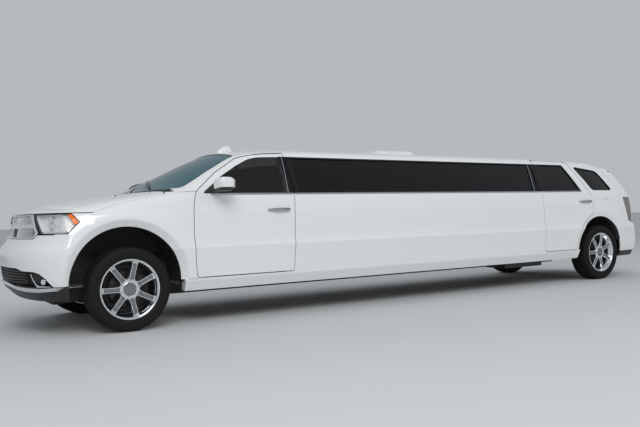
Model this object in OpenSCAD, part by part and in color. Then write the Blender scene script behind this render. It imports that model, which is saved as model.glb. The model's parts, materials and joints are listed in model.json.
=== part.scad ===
// Long-wheelbase passenger limousine on a sport-utility body, stretched between its axles.
// Lengths in millimetres. X points forward, Y to the left side, Z up, ground at Z = 0.

/* [Chassis] */
// Distance between front and rear axle
wheelbase = 6750; // [6450:10:7050]
// Distance between the middles of a left and a right tyre
track = 1620; // [1610:2:1630]
// Width of the tyres
tyre_w = 255; // [240:1:262]
// Radius of the rim flange
rim_r = 270; // [266:1:274]
// Height of the tyre's sidewall over the rim flange
sidewall = 112.5; // [108:0.5:117]

/* [Body] */
// Gap between a moving panel and its neighbours
gap = 7; // [6:0.5:8]
// Thickness of the doors and side walls
wall = 75; // [70:1:80]
// Thickness of the roof
roof_t = 45; // [40:1:50]
// Thickness of the hood, fenders and bumpers
skin = 22; // [20:1:25]
// Thickness of the window panes
pane = 6; // [5:0.5:8]
// Height of the vent on the roof
vent_h = 45; // [30:1:60]

/* [Cabin] */
// Height of the floor's upper face
floor_z = 420; // [410:1:430]
// Thickness of the seat cushions
cushion = 160; // [120:5:180]
// Diameter of the steering wheel
steering_d = 380; // [350:5:400]

/* [Hidden] */
front_over = 930;
rear_over = 1080;
half_len = (front_over + wheelbase + rear_over) / 2;
fa = half_len - front_over;
ra = fa - wheelbase;
nose = half_len;
tail = -half_len;
tyre_r = rim_r + sidewall;
axle_z = tyre_r;
wheel_y = track / 2;
low_z = 300;
// The steering axis stands this far inboard of the tyre's middle.
kingpin_in = 110;
kingpin_y = wheel_y - kingpin_in;
arch_f = [fa + 20, 440, 508];
arch_r = [ra + 10, 400, 492];
door_sill_z = 448;
// Wheel-arch flares: how far they stand out and their width.
flare = 8;
flare_w = 50;

// Driving curves of the body, each a list of knots [x, value].
wide = [[tail, 895], [tail + 400, 932], [ra, 955], [ra + 700, 962],
    [fa - 850, 962], [fa, 958], [fa + 450, 952], [nose, 935]];
belt_y = [[tail, 835], [tail + 450, 872], [ra + 300, 902], [ra + 1300, 908],
    [fa - 750, 908], [fa - 400, 900], [fa, 890], [fa + 450, 872], [nose, 840]];
belt_z = [[tail, 1150], [tail + 450, 1222], [ra + 300, 1236], [ra + 1300, 1236],
    [fa - 750, 1228], [fa - 400, 1212], [fa, 1172], [fa + 450, 1118], [nose, 1082]];
rail_y = [[tail, 640], [tail + 450, 655], [ra + 300, 676], [ra + 1300, 682],
    [fa - 1500, 682], [fa - 1200, 700], [fa - 880, 775], [fa - 520, 842],
    [fa - 370, 805], [fa, 770], [nose, 640]];
rail_z = [[tail, 1600], [tail + 450, 1630], [ra, 1662], [ra + 700, 1678],
    [ra + 2300, 1686], [fa - 1900, 1684], [fa - 1500, 1668], [fa - 1200, 1620],
    [fa - 880, 1466], [fa - 520, 1284], [fa - 370, 1258], [fa, 1212],
    [fa + 450, 1148], [nose, 1104]];
top_z = [[tail, 1640], [tail + 450, 1690], [ra, 1722], [ra + 700, 1742],
    [ra + 2300, 1757], [fa - 2000, 1757], [fa - 1500, 1742], [fa - 1200, 1704],
    [fa - 1080, 1664], [fa - 550, 1423], [fa - 260, 1288], [fa - 140, 1264],
    [fa + 150, 1228], [fa + 550, 1172], [nose, 1118]];
crease_on = [[ra - 100, 0], [ra + 300, 1], [fa - 700, 1], [fa - 350, 0]];
round_b = [[fa - 800, 26], [fa - 300, 75]];

// Side profile from the sill (0) to the belt (1): tuck below the crease, lean above it, hollow over it.
tuck = [[0, 75], [0.032, 45], [0.15, 22], [0.279, 14], [0.386, 7], [0.459, 0]];
lean = [[0.459, 0], [0.569, 0.17], [0.676, 0.33], [0.815, 0.55], [0.912, 0.76], [1, 1]];
hollow = [[0.459, 0], [0.504, 8], [0.569, 10], [0.676, 6], [0.815, 0]];
side_s = [0, 0.15, 0.459, 0.504, 0.6, 0.76, 0.9];

// Setback of the front and rear faces over height.
nose_dz = [[300, 150], [360, 95], [410, 45], [450, 25], [520, 5], [600, 0], [700, 5], [760, 25],
    [820, 75], [880, 105], [960, 118], [1040, 132], [1075, 150], [1095, 175], [1120, 230]];
tail_dz = [[300, 120], [420, 40], [520, 5], [600, 0], [720, 10], [770, 50], [820, 85], [950, 95],
    [1100, 120], [1200, 160], [1254, 190], [1400, 300], [1600, 470], [1640, 505], [1690, 560]];
nose_bow = 520;
tail_bow = 320;

stations = concat(
    [for (d = [0, 80, 260, 520, 860, 1300]) tail + d],
    [ra + 900, ra + 2300, fa - 1900],
    [for (d = [-1500, -1220, -880, -520, -370, -150, 150, 450, 660, 800, 890, 930]) fa + d]);

// Monotone cubic through the knots of a curve.
function slope(t, i) = (t[i + 1][1] - t[i][1]) / (t[i + 1][0] - t[i][0]);
function bend(a, b) = a * b <= 0 ? 0 : 2 * a * b / (a + b);
function tang(t, i) = i == 0 ? slope(t, 0)
    : i == len(t) - 1 ? slope(t, i - 1) : bend(slope(t, i - 1), slope(t, i));
function seg(t, x, i = 0) = i >= len(t) - 2 || x < t[i + 1][0] ? i : seg(t, x, i + 1);
function at(t, x) = x <= t[0][0] ? t[0][1]
    : x >= t[len(t) - 1][0] ? t[len(t) - 1][1]
    : let (i = seg(t, x), h = t[i + 1][0] - t[i][0], u = (x - t[i][0]) / h, v = 1 - u)
      t[i][1] * (1 + 2 * u) * v * v + tang(t, i) * h * u * v * v
      + t[i + 1][1] * u * u * (3 - 2 * u) - tang(t, i + 1) * h * u * u * v;
function clamp(v) = max(0, min(1, v));
function ease(v) = let (u = clamp(v)) u * u * (3 - 2 * u);
function mix(a, b, u) = a * (1 - u) + b * u;
function bezier(a, b, c, u) = mix(mix(a, b, u), mix(b, c, u), u);
function toward(a, b, d) = a + (b - a) * d / norm(b - a);

// Half section at a station, from the bottom middle over the side to the top middle.
function side_pt(x, s) = [at(wide, x) - at(tuck, s) - at(lean, s) * (at(wide, x) - at(belt_y, x))
    - at(crease_on, x) * at(hollow, s), low_z + s * (at(belt_z, x) - low_z)];
function roof_pt(x, y) = [y, at(rail_z, x)
    + (at(top_z, x) - at(rail_z, x)) * (1 - pow(y / at(rail_y, x), 2))];
function half(x) =
    let (b = [at(belt_y, x), at(belt_z, x)], r = [at(rail_y, x), at(rail_z, x)], rb = at(round_b, x),
        rl = min(60, norm(r - b) * 0.4), b0 = side_pt(x, 1 - rb / (b[1] - low_z)),
        b1 = toward(b, r, min(rb, norm(r - b) * 0.4)), r0 = toward(r, b, rl), r1 = roof_pt(x, r[0] - 70))
    concat([[0, low_z]], [for (s = side_s) side_pt(x, s)],
        [for (u = [0, 0.5, 1]) bezier(b0, b, b1, u)], [(b1 + r0) / 2 + [7, 3]],
        [for (u = [0, 0.5, 1]) bezier(r0, r, r1, u)],
        [for (k = [0.66, 0.33, 0]) roof_pt(x, r1[0] * k)]);

// Bow of the nose and tail in plan and their setback over height.
function bow(t, p) = 1 - pow(max(0, 1 - pow(min(1, t), p)), 1 / p);
function warp(x, y, z) = x
    - nose_bow * bow(abs(y) / at(wide, x), 2.5) * ease((x - fa + 250) / (front_over + 250))
    - at(nose_dz, z) * ease((x - fa - 480) / (front_over - 480))
    + (tail_bow * bow(abs(y) / at(wide, x), 3) + at(tail_dz, z)) * ease((ra - x + 60) / (rear_over + 60));
// Grid of the body surface: place of each point, and how far the end, side and top insets move it.
cols = [1, 0.94, 0.78, 0.42, 0, -0.42, -0.78, -0.94, -1];
halves = [for (x = stations) half(x)];
nj = len(halves[0]);
nc = len(cols) - 1;
ring = 2 * nj - 2;
ns = len(stations);
function grid_pt(x, y, z) = [warp(x, y, z), y, z,
    ease((ra - x - 100) / 700) - ease((x - fa - 200) / 600),
    clamp((1720 - z) / 300 + 0.35),
    z <= low_z || abs(y) < 300 ? 1 : clamp((z - 1060) / 150)];
grid = concat(
    [for (i = [0:ns - 1]) each concat(
        [for (j = [0:nj - 1]) grid_pt(stations[i], halves[i][j][0], halves[i][j][1])],
        [for (j = [nj - 2:-1:1]) grid_pt(stations[i], -halves[i][j][0], halves[i][j][1])])],
    [for (i = [0, ns - 1], j = [1:nj - 2], c = [1:nc - 1])
        grid_pt(stations[i], halves[i][j][0] * cols[c], halves[i][j][1])]);
function cap_at(e, j, c) = let (i = e == 0 ? 0 : ns - 1)
    j == 0 ? i * ring : j == nj - 1 ? i * ring + nj - 1
    : c == 0 ? i * ring + j : c == nc ? i * ring + ring - j
    : ns * ring + e * (nj - 2) * (nc - 1) + (j - 1) * (nc - 1) + c - 1;
grid_faces = [for (f = concat(
    [for (i = [0:ns - 2], j = [0:ring - 1])
        let (a = i * ring + j, b = i * ring + (j + 1) % ring, d = b + ring, f = a + ring)
        each j < nj - 1 ? [[a, b, d], [a, d, f]] : [[a, b, f], [b, d, f]]],
    [for (e = [0, 1], j = [0:nj - 2], c = [0:nc - 1])
        let (a = cap_at(e, j, c), b = cap_at(e, j + 1, c))
        let (d = cap_at(e, j + 1, c + 1), f = cap_at(e, j, c + 1))
        each c < nc / 2 ? e == 0 ? [[a, d, b], [a, f, d]] : [[a, b, d], [a, d, f]]
            : e == 0 ? [[a, f, b], [b, f, d]] : [[a, b, f], [b, d, f]]]))
    if (f[0] != f[1] && f[1] != f[2] && f[0] != f[2]) [f[0], f[2], f[1]]];

// Closed surface of the whole body, moved in by side, top and end insets.
module body(ts = 0, tt = 0, te = 0) {
    polyhedron([for (p = grid) [p[0] + te * p[3], sign(p[1]) * max(abs(p[1]) - ts * p[4], 0), p[2] - tt * p[5]]],
        grid_faces, convexity = 6);
}
module mesh() { resize([0, 0, 0]) children(); }
// Prisms along Y, X and Z from outlines in the side, front and top views.
module side_cut(y0, y1) { translate([0, y1, 0]) rotate([90, 0, 0]) linear_extrude(y1 - y0) children(); }
module front_cut(x0, x1) { translate([x0, 0, 0]) rotate([90, 0, 90]) linear_extrude(x1 - x0) children(); }
module top_cut(z0, z1) { translate([0, 0, z0]) linear_extrude(z1 - z0) children(); }
module shell(ts, tt, te) {
    difference() {
        union() {
            body();
            flares();
        }
        body(ts, tt, te);
    }
}
// Raised band round each wheel arch.
module flares() {
    intersection() {
        body(-flare, 0, 0);
        side_cut(-1200, 1200) for (a = [arch_f, arch_r]) difference() {
            arch2(a, a[2] + flare_w);
            arch2(a, a[2] - 5);
        }
    }
}
module both() { children(); mirror([0, 1, 0]) children(); }
module both2d() { children(); mirror([1, 0]) children(); }

// Outlines in the side view.
hinge_d = 95;
hinge_y = 930;
hinge_fx = fa - 620 - hinge_d;
hinge_rx = ra + 1189 - hinge_d;
hinge_zs = [530, 890];
pin_r = 4.5;
// The inner panels of the doors and liftgate stop this far inside the edge of the outer skin.
rebate = 18;
gate_x = tail + 530;
gate_axis = [tail + 473, 1600];
gate_y = 250;
hood_axis = [fa - 352, 1226];
hood_y = 700;
tow_z = 385;
// Round lamps in each headlamp: their places in the front view and their radius.
lamp_yz = [[745, 985], [845, 985]];
lamp_r = 38;
seat_gap = 0.3;
// The wheel-arch liners reach this far past the arches.
liner_r = 26;
dash_x = arch_f[0] - arch_f[2] - liner_r - seat_gap - 40;
riser_x = arch_r[0] + arch_r[2] + liner_r + seat_gap;
cross_xs = [riser_x + 300, ra + 2600, fa - 2400, fa - 900];
mid_x = fa - 3520;
muffler_x = cross_xs[0] + 180;
bench_x = ra + 1500;
bench_l = fa - 2550 - bench_x;
module roof_line2(drop) {
    xs = concat([for (d = [0, 250, 550, 850]) tail + d], [ra + 200, ra + 700, ra + 2300],
        [for (d = [1900, 1700, 1500, 1400, 1300, 1200, 1040, 880, 700, 520]) fa - d]);
    polygon(concat([[tail - 50, at(rail_z, tail) - 2 - drop]],
        [for (x = xs) [warp(x, at(rail_y, x), at(rail_z, x)), at(rail_z, x) - 2 - drop]],
        [[fa - 460, 1258 - drop], [fa - 460, 100], [tail - 50, 100]]));
}
module door_f2() {
    polygon([[fa - 638, door_sill_z], [fa - 624, 600], [fa - 620, 880], [fa - 628, 1100], [fa - 655, 1250],
        [fa - 915, 1453], [fa - 1169, 1599], [fa - 1300, 1644], [fa - 1425, 1700], [fa - 1728, 1700],
        [fa - 1737, 1236], [fa - 1697, door_sill_z]]);
}
module door_r2() {
    polygon(concat([[ra + 1189, door_sill_z], [ra + 1189, 1236], [ra + 1135, 1700], [ra + 440, 1700],
        [ra + 210, 1250], [ra + 160, 1180], [ra + 160, 1000]],
        [for (a = [74, 60, 45, 30, 15, 5]) [arch_r[0] + 552 * cos(a), arch_r[1] + 552 * sin(a)]]));
}
module glass_f2() {
    polygon([[fa - 735, 1246], [fa - 957, 1409], [fa - 1150, 1520], [fa - 1313, 1597], [fa - 1428, 1617],
        [fa - 1650, 1624], [fa - 1690, 1246]]);
}
// Fixed corner plate of the front window, which carries the mirror.
module sail2() {
    polygon([[fa - 735, 1246], [fa - 876, 1349.5], [fa - 876, 1246]]);
}
module glass_r2() {
    polygon([[ra + 1105, 1250], [ra + 1060, 1612], [ra + 545, 1612], [ra + 375, 1255]]);
}
module glass_long2() {
    polygon([[fa - 1785, 1246], [fa - 1785, 1622], [ra + 1270, 1612], [ra + 1345, 1250]]);
}
module glass_post2() {
    polygon([[ra + 1322, 1250], [ra + 1247, 1612], [ra + 1190, 1611], [ra + 1230, 1250]]);
}
module glass_q2() {
    polygon([[ra + 318, 1598], [ra - 183, 1540], [ra - 372, 1264], [ra + 110, 1262]]);
}
module arch2(a, r) { translate([a[0], a[1]]) circle(r, $fn = 36); }
module lamp_side2() {
    polygon([[fa + 415, 1000], [fa + 475, 1076], [fa + 990, 1076], [fa + 990, 897], [fa + 526, 897]]);
}
module bumper_side2() {
    polygon([[fa + 400, 300], [fa + 420, 560], [fa + 470, 720], [fa + 532, 890], [nose + 60, 890],
        [nose + 60, 250], [fa + 400, 250]]);
}
module rear_side2() {
    polygon([[ra - 440, 380], [ra - 470, 620], [ra - 520, 780], [tail - 60, 796], [tail - 60, 380]]);
}
module tail_side2() {
    polygon([[ra - 625, 1160], [ra - 712, 808], [tail - 60, 808], [tail - 60, 1160]]);
}

// Outlines in the front and rear views.
module grille2() { polygon([[-530, 1076], [530, 1076], [662, 900], [600, 858], [-600, 858], [-662, 900]]); }
module lamp2() { both2d() polygon([[546, 1076], [682, 897], [1000, 897], [1000, 1090], [546, 1090]]); }
module mouth2() {
    polygon([for (p = mirrored([[602, 0], [586, 450], [542, 650], [462, 800], [450, 800], [466, 500], [478, 0]]))
        [p[1], p[0]]]);
}
module gate2() {
    polygon([[-630, 1800], [630, 1800], [700, 1250], [690, 802], [-690, 802], [-700, 1250]]);
}
module gate_glass2() { polygon([[-545, 1575], [545, 1575], [625, 1262], [-625, 1262]]); }

// Outlines in the top view.
function mirrored(p) = concat(p, [for (i = [len(p) - 1:-1:0]) if (p[i][1] != 0) [p[i][0], -p[i][1]]]);
module screen2() {
    polygon(mirrored([[fa - 1160, 0], [fa - 1172, 300], [fa - 1205, 625], [fa - 880, 715], [fa - 530, 806],
        [fa - 440, 700], [fa - 330, 480], [fa - 250, 250], [fa - 215, 0]]));
}
module hood2() {
    polygon(mirrored([[fa - 135, 0], [fa - 170, 250], [fa - 260, 500], [fa - 385, 790], [fa - 350, 826],
        [fa - 250, 850], [fa + 150, 862], [fa + 440, 880], [fa + 520, 905], [nose + 50, 905]]));
}

// Hinge of a front-hung side door: fixed leaf with its pin, and the room it needs.
module door_hinge(hx) {
    for (z = hinge_zs) translate([hx, hinge_y, z]) {
        translate([0, 0, -32]) cylinder(r = pin_r, h = 64, $fn = 24);
        translate([0, 0, -12]) cylinder(r = 6, h = 24, $fn = 24);
        translate([-5, -140, -12]) cube([10, 140, 24]);
    }
}
module hinge_room(hx) {
    translate([hx, hinge_y, 430]) cylinder(r = norm([hinge_d, 34]) + 8, h = 830, $fn = 16);
}
// A side door of the given outline, window and hinge place.
module side_door(hx) {
    mesh() difference() {
        union() {
            difference() {
                intersection() {
                    shell(wall, roof_t, 60);
                    union() {
                        side_cut(640, 1200) offset(delta = -rebate) door_edge2() children(0);
                        difference() {
                            side_cut(640, 1200) door_edge2() children(0);
                            body(8, 8, 8);
                        }
                    }
                }
                side_cut(300, 1200) children(1);
                intersection() {
                    body(14, 14, 14);
                    translate([hx - 18, 300, 400]) cube([200, 900, 840]);
                }
                for (z = hinge_zs) translate([hx - 40, 600, z - 14]) cube([200, 337, 28]);
            }
            for (z = hinge_zs, s = [-1, 1]) translate([hx - 22, hinge_y - 9, z + s * 23 - 8]) cube([30, 18, 16]);
        }
        for (z = hinge_zs) translate([hx, hinge_y, z - 33]) cylinder(r = pin_r + 0.4, h = 66, $fn = 14);
    }
}
module door_edge2() {
    intersection() {
        children();
        roof_line2(gap + 3);
    }
}
module side_pane() {
    mesh() intersection() {
        difference() {
            body(8, 8, 8);
            body(8 + pane, 8 + pane, 8 + pane);
        }
        side_cut(300, 1200) children();
    }
}

module floor() {
    color("dimgray") {
        translate([riser_x, -850, floor_z - 40]) cube([dash_x - riser_x, 1700, 40]);
        translate([dash_x, -790, floor_z - 40]) cube([40, 1580, 810]);
        translate([riser_x, -850, floor_z - 40]) cube([40, 1700, 360]);
        translate([tail + 250, -559.7, floor_z + 280]) cube([riser_x + 40 - tail - 250, 1119.4, 40]);
    }
}
module underframe() {
    top = floor_z - 40 - seat_gap;
    color("black") difference() {
        union() {
            for (s = [-1, 1]) {
                translate([riser_x, s * 400 - 45, top - 120]) cube([fa + 560 - riser_x, 90, 120]);
                translate([tail + 260, s * 400 - 45, top + 200]) cube([riser_x - 0.3 - tail - 260, 90, 120]);
                translate([riser_x - 60, s * 400 - 45, top - 120]) cube([60, 90, 440]);
            }
            for (x = cross_xs) translate([x, -356, top - 40]) cube([80, 712, 40]);
            for (x = [fa + 60, fa + 470]) translate([x, -356, 239.7]) cube([80, 712, 60]);
            translate([tail + 190, 355, tow_z]) cube([130, 90, 16]);
            translate([tail + 300, 355, tow_z]) cube([20, 90, top + 210 - tow_z]);
        }
        translate([tail + 240, 400, tow_z - 10]) cylinder(r = 20, h = 40, $fn = 32);
    }
}
module engine() {
    color("dimgray") translate([fa - 330, -300, 300]) cube([760, 600, 700]);
}
module exhaust() {
    color("silver") {
        translate([fa - 330.3, -250, 300]) rotate([0, -90, 0]) cylinder(r = 30, h = fa - 340 - muffler_x, $fn = 32);
        translate([muffler_x, -250, 296]) rotate([0, 90, 0]) cylinder(r = 70, h = 600, $fn = 40);
        for (x = cross_xs) translate([x + 20, -258, 300]) cube([40, 16, floor_z - 80.6 - 300]);
    }
}
module drivetrain() {
    color("gray") {
        translate([ra + 60, 0, 296]) rotate([0, 90, 0]) cylinder(r = 34, h = wheelbase - 390.3, $fn = 32);
        translate([ra, -wheel_y - 60, axle_z]) rotate([-90, 0, 0]) cylinder(r = 30, h = track + 120, $fn = 32);
        translate([ra, -560, axle_z]) rotate([-90, 0, 0]) cylinder(r = 44, h = 1120, $fn = 32);
        translate([ra, 0, axle_z]) sphere(r = 150, $fn = 32);
        both() translate([ra, 400, axle_z]) cylinder(r = 50, h = floor_z + 159.4 - axle_z, $fn = 32);
    }
}
module fuel_tank() {
    color("black") both() translate([ra + 1115, 470, 256]) cube([700, 330, floor_z - 40 - seat_gap - 256]);
}
module front_suspension() {
    color("black") both() {
        translate([fa - 60, 445.3, 262]) cube([120, 130, 26]);
        translate([fa - 36, 560, 262]) cube([72, kingpin_y - 560, 26]);
        translate([fa, kingpin_y, 262]) cylinder(r = 36, h = 29.7, $fn = 32);
    }
}
module wheel_liners() { color("black") both() liner_pair(); }
module liner_pair() {
    mesh() {
        intersection() {
            body(skin + 0.4, skin + 0.4, 34.6);
            liner(arch_f, 500, 420);
        }
        intersection() {
            body(wall + 0.4, wall, 60);
            liner(arch_r, 560, 400);
        }
    }
}
// Wheel-arch liner: a bent sheet over the wheel with a wall on its inner side.
module liner(a, y0, z0) {
    side_cut(y0, 990) intersection() {
        difference() {
            arch2(a, a[2] + liner_r);
            arch2(a, a[2] + liner_r - 8);
        }
        translate([a[0] - 700, z0]) square([1400, 900]);
    }
    side_cut(y0, y0 + 8) intersection() {
        arch2(a, a[2] + liner_r - 4);
        translate([a[0] - 700, floor_z + 280]) square([1400, 900]);
    }
}
module fenders() {
    color("white") both() mesh() difference() {
        intersection() {
            shell(skin, skin, 30);
            side_cut(797, 1200) difference() {
                polygon([[fa - 700, 438.3], [fa - 700, 1258], [fa - 480, 1262], [fa + 620, 1262], [fa + 620, 438.3]]);
                arch2(arch_f, arch_f[2]);
                offset(delta = gap) door_f2();
                offset(delta = 0.4) lamp_side2();
                offset(delta = 0.4) bumper_side2();
            }
        }
        top_cut(1000, 1500) for (back = [0, 10]) translate([-back, 0]) offset(delta = gap) hood2();
        top_cut(1000, 1500) offset(delta = 0.4) screen2();
        hinge_room(hinge_fx);
    }
}
module front_bumper() {
    color("white") mesh() difference() {
        intersection() {
            shell(skin, skin, 34);
            side_cut(-1200, 1200) difference() {
                bumper_side2();
                arch2(arch_f, arch_f[2]);
                square([9000, 446.4]);
            }
        }
        front_cut(fa, nose + 100) {
            offset(delta = 0.4) grille2();
            offset(delta = 0.4) lamp2();
            mouth2();
        }
    }
}
module front_valance() {
    color("black") mesh() difference() {
        intersection() {
            shell(skin, skin, 34);
            side_cut(-1200, 1200) difference() {
                translate([fa + 380, 310]) square([nose - fa, 103.7]);
                arch2(arch_f, arch_f[2]);
            }
        }
    }
}
module bumper_strip() {
    color("silver") mesh() difference() {
        intersection() {
            shell(skin, skin, 34);
            side_cut(-1200, 1200) difference() {
                translate([fa + 380, 414]) square([nose - fa, 32]);
                arch2(arch_f, arch_f[2]);
            }
        }
    }
}
module grille() {
    color("silver") mesh() {
        difference() {
            intersection() {
                shell(50, 50, 50);
                front_cut(fa + 300, nose + 100) difference() {
                    grille2();
                    difference() {
                        offset(delta = -34) grille2();
                        translate([-700, 962]) square([1400, 26]);
                        translate([-20, 800]) square([40, 400]);
                    }
                }
            }
        }
        intersection() {
            difference() {
                body(26, 26, 26);
                body(40, 40, 40);
            }
            front_cut(fa + 300, nose + 100) offset(delta = -20) grille2();
        }
    }
}
module lower_grille() {
    color("black") mesh() {
        intersection() {
            difference() {
                body(14, 14, 20);
                body(30, 30, 40);
            }
            front_cut(fa + 300, nose + 100) difference() {
                offset(delta = -0.4) mouth2();
                for (z = [492, 520, 548]) translate([-440, z]) square([880, 16]);
            }
        }
        intersection() {
            difference() {
                body(2, 2, 4);
                body(30, 30, 40);
            }
            front_cut(fa + 300, nose + 100) both2d() translate([630, 507]) circle(32, $fn = 24);
        }
    }
}
module headlamps() {
    color("gainsboro") both() mesh() intersection() {
        difference() {
            shell(60, 60, 60);
            difference() {
                intersection() {
                    body(5, 5, 5);
                    side_cut(300, 1200) offset(delta = -5) lamp_side2();
                    front_cut(fa, nose + 100) offset(delta = -5) lamp2();
                }
                front_cut(fa, nose + 60) for (p = lamp_yz) translate(p) circle(lamp_r, $fn = 24);
            }
        }
        side_cut(300, 1200) lamp_side2();
        front_cut(fa, nose + 100) lamp2();
    }
}
module cowl() {
    color("black") mesh() difference() {
        intersection() {
            difference() {
                body(20, 14.3, 14);
                body(34, 36, 28);
            }
            translate([fa - 469.6, -796.5, 1100]) cube([409.6, 1593, 400]);
        }
        top_cut(1000, 1500) offset(delta = 40) hood2();
        top_cut(1000, 1500) offset(delta = -30) screen2();
        side_cut(-1200, 1200) offset(delta = gap) door_f2();
    }
}
module windshield() {
    color("lightblue") mesh() intersection() {
        difference() {
            body(6, 6, 6);
            body(6 + pane, 6 + pane * 1.3, 6 + pane);
        }
        top_cut(1180, 1800) offset(delta = -0.4) screen2();
    }
}
module dashboard() {
    x1 = dash_x - seat_gap;
    color("dimgray") difference() {
        side_cut(-690, 690) polygon([[x1, 700], [x1 - 160, 720], [x1 - 290, 900], [x1 - 310, 1080],
            [x1 - 270, 1150], [x1, 1180]]);
        column(30.3);
    }
}
module column(r) {
    translate([fa - 1040, 400, 1010]) rotate([0, -65, 0]) translate([0, 0, -260]) cylinder(r = r, h = 260, $fn = 32);
}
module steering_wheel() {
    color("black") {
        translate([fa - 1040, 400, 1010]) rotate([0, -65, 0]) {
            rotate_extrude($fn = 40) translate([steering_d / 2 - 15, 0]) circle(15, $fn = 16);
            translate([0, 0, -15]) cylinder(r = 60, h = 30, $fn = 32);
            for (a = [0, 120, 240]) rotate(a) translate([0, -18, -8]) cube([steering_d / 2 - 12, 36, 16]);
        }
        column(30);
    }
}
module roof() {
    color("white") mesh() difference() {
        intersection() {
            shell(wall, roof_t, 60);
            translate([tail + 300, -1200, 1262.4]) cube([fa - 770 - tail, 2400, 700]);
        }
        translate([tail, -1200, 1000]) cube([gate_x - tail, 2400, gate_axis[1] + 5 - 1000]);
        side_cut(-1200, 1200) {
            intersection() {
                roof_line2(0);
                translate([tail - 100, 0]) square([fa - 1400 - tail + 100, 2000]);
            }
            offset(delta = gap) intersection() {
                door_f2();
                roof_line2(gap);
            }
        }
        top_cut(1180, 1800) screen2();
        both() gate_room(8);
        both() translate([gate_axis[0], gate_y - 8.3, gate_axis[1] + 0.7]) cube([34.3, 16.6, 14.6]);
    }
}
// Room around a knuckle of the liftgate's hinge.
module gate_room(r) {
    translate([gate_axis[0], gate_y - 24, gate_axis[1]]) rotate([-90, 0, 0]) cylinder(r = r, h = 48, $fn = 16);
}
module roof_vent() {
    color("white") {
        mesh() intersection() {
            difference() {
                body(0, -vent_h, 0);
                body();
            }
            side_cut(-300, 300) polygon([[mid_x - 390, 1700], [mid_x - 370, 1780], [mid_x - 330, 1757 + vent_h],
                [mid_x + 60, 1757 + vent_h], [mid_x + 330, 1768], [mid_x + 370, 1700]]);
        }
        translate([fa - 1490, 0, 0]) mesh() difference() {
            translate([0, 9, 0]) rotate([90, 0, 0]) linear_extrude(18) polygon([[0, 1700], [160, 1700], [60, 1806], [20, 1790]]);
            translate([-fa + 1490, 0, 0]) body();
        }
    }
}

module body_sides() {
    color("white") both() mesh() difference() {
        intersection() {
            shell(wall, roof_t, 60);
            side_cut(300, 1200) difference() {
                intersection() {
                    translate([tail + 330, 438.3]) square([fa - 1600 - tail - 330, 1400]);
                    roof_line2(0.4);
                }
                offset(delta = gap) door_f2();
                offset(delta = gap) door_r2();
                offset(delta = 0.4) rear_side2();
                offset(delta = 0.4) tail_side2();
                arch2(arch_r, arch_r[2]);
                glass_long2();
                glass_post2();
                glass_q2();
            }
        }
        hinge_room(hinge_rx);
        intersection() {
            body(14, 14, 14);
            translate([hinge_rx - 20, 300, 430]) cube([150, 900, 830]);
        }
        front_cut(tail - 100, tail + 600) offset(delta = gap) gate2();
    }
}
module sills() {
    color("white") both() side_rail() polygon([[850.3, 330], [918, 326], [955, 420], [955, 432], [940, 438], [850.3, 438]]);
}
module side_rail() {
    ends = liner_r + seat_gap;
    translate([arch_r[0] + arch_r[2] + ends, 0, 0]) rotate([90, 0, 90])
        linear_extrude(arch_f[0] - arch_f[2] - arch_r[0] - arch_r[2] - 2 * ends) children();
}
module side_glass_fixed2() {
    offset(delta = -0.3) glass_long2();
    offset(delta = -0.3) glass_post2();
    offset(delta = -0.3) glass_q2();
}
module side_glass() { color("black") both() side_pane() side_glass_fixed2(); }
module hinges() {
    color("gray") both() {
        for (hx = [hinge_fx, hinge_rx]) {
            door_hinge(hx);
            translate([hx - 25, 700, floor_z]) cube([155, 100, 760]);
        }
        side_cut(hood_y - 12, hood_y - 4) polygon([[dash_x + 40, 1060], [dash_x + 40, 1150],
            [hood_axis[0] - 30, hood_axis[1] + 8], [hood_axis[0] + 8, hood_axis[1] + 8],
            [hood_axis[0] + 8, hood_axis[1] - 14], [hood_axis[0] - 60, hood_axis[1] - 60]]);
        translate([hood_axis[0], hood_y - 12, hood_axis[1]]) rotate([-90, 0, 0]) cylinder(r = 5, h = 40, $fn = 24);
        translate([gate_axis[0], gate_y - 22, gate_axis[1]]) rotate([-90, 0, 0]) cylinder(r = 4, h = 44, $fn = 24);
        translate([gate_axis[0], gate_y - 8, gate_axis[1]]) rotate([-90, 0, 0]) cylinder(r = 7, h = 16, $fn = 24);
        translate([gate_axis[0] + 2, gate_y - 8, gate_axis[1] + 1]) cube([32, 16, 14]);
    }
}
module rear_bumper() {
    color("white") mesh() difference() {
        intersection() {
            shell(skin, skin, 34);
            side_cut(-1200, 1200) difference() {
                rear_side2();
                arch2(arch_r, arch_r[2]);
            }
        }
    }
}
module tail_lamps() {
    color("red") both() mesh() difference() {
        intersection() {
            shell(60, 60, 60);
            side_cut(300, 1200) tail_side2();
        }
        front_cut(tail - 100, tail + 900) offset(delta = gap) gate2();
    }
}
module seat_form(w) {
    translate([0, -w / 2, 0]) cube([520, w, cushion]);
    translate([0, -w / 2, cushion]) rotate([0, -18, 0]) translate([-20, 0, -20]) {
        cube([130, w, 600]);
        translate([20, w / 4, 590]) cube([90, w / 2, 190]);
    }
}
module front_seats() {
    color("tan") both() {
        translate([fa - 1780, 400, floor_z + 180]) seat_form(520);
        translate([fa - 1740, 200, floor_z]) cube([420, 400, 180]);
    }
}
module lounge_seats() {
    color("tan") {
        translate([bench_x, -780, floor_z]) cube([bench_l, 520, 250 + cushion]);
        translate([bench_x, -800, floor_z + 250 + cushion]) cube([bench_l, 130, 400]);
        translate([ra + 620, -640, floor_z]) cube([480, 1280, 250 + cushion]);
        translate([ra + 480, -640, floor_z + 330]) cube([140, 1280, 640]);
    }
}
module knuckle() {
    translate([0, kingpin_y, 292]) cylinder(r = 30, h = 180, $fn = 32);
    translate([0, kingpin_y, axle_z]) rotate([-90, 0, 0]) cylinder(r = 28, h = wheel_y + 60 - kingpin_y, $fn = 32);
}
module knuckle_l() { color("gray") translate([fa, 0, 0]) knuckle(); }
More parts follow.
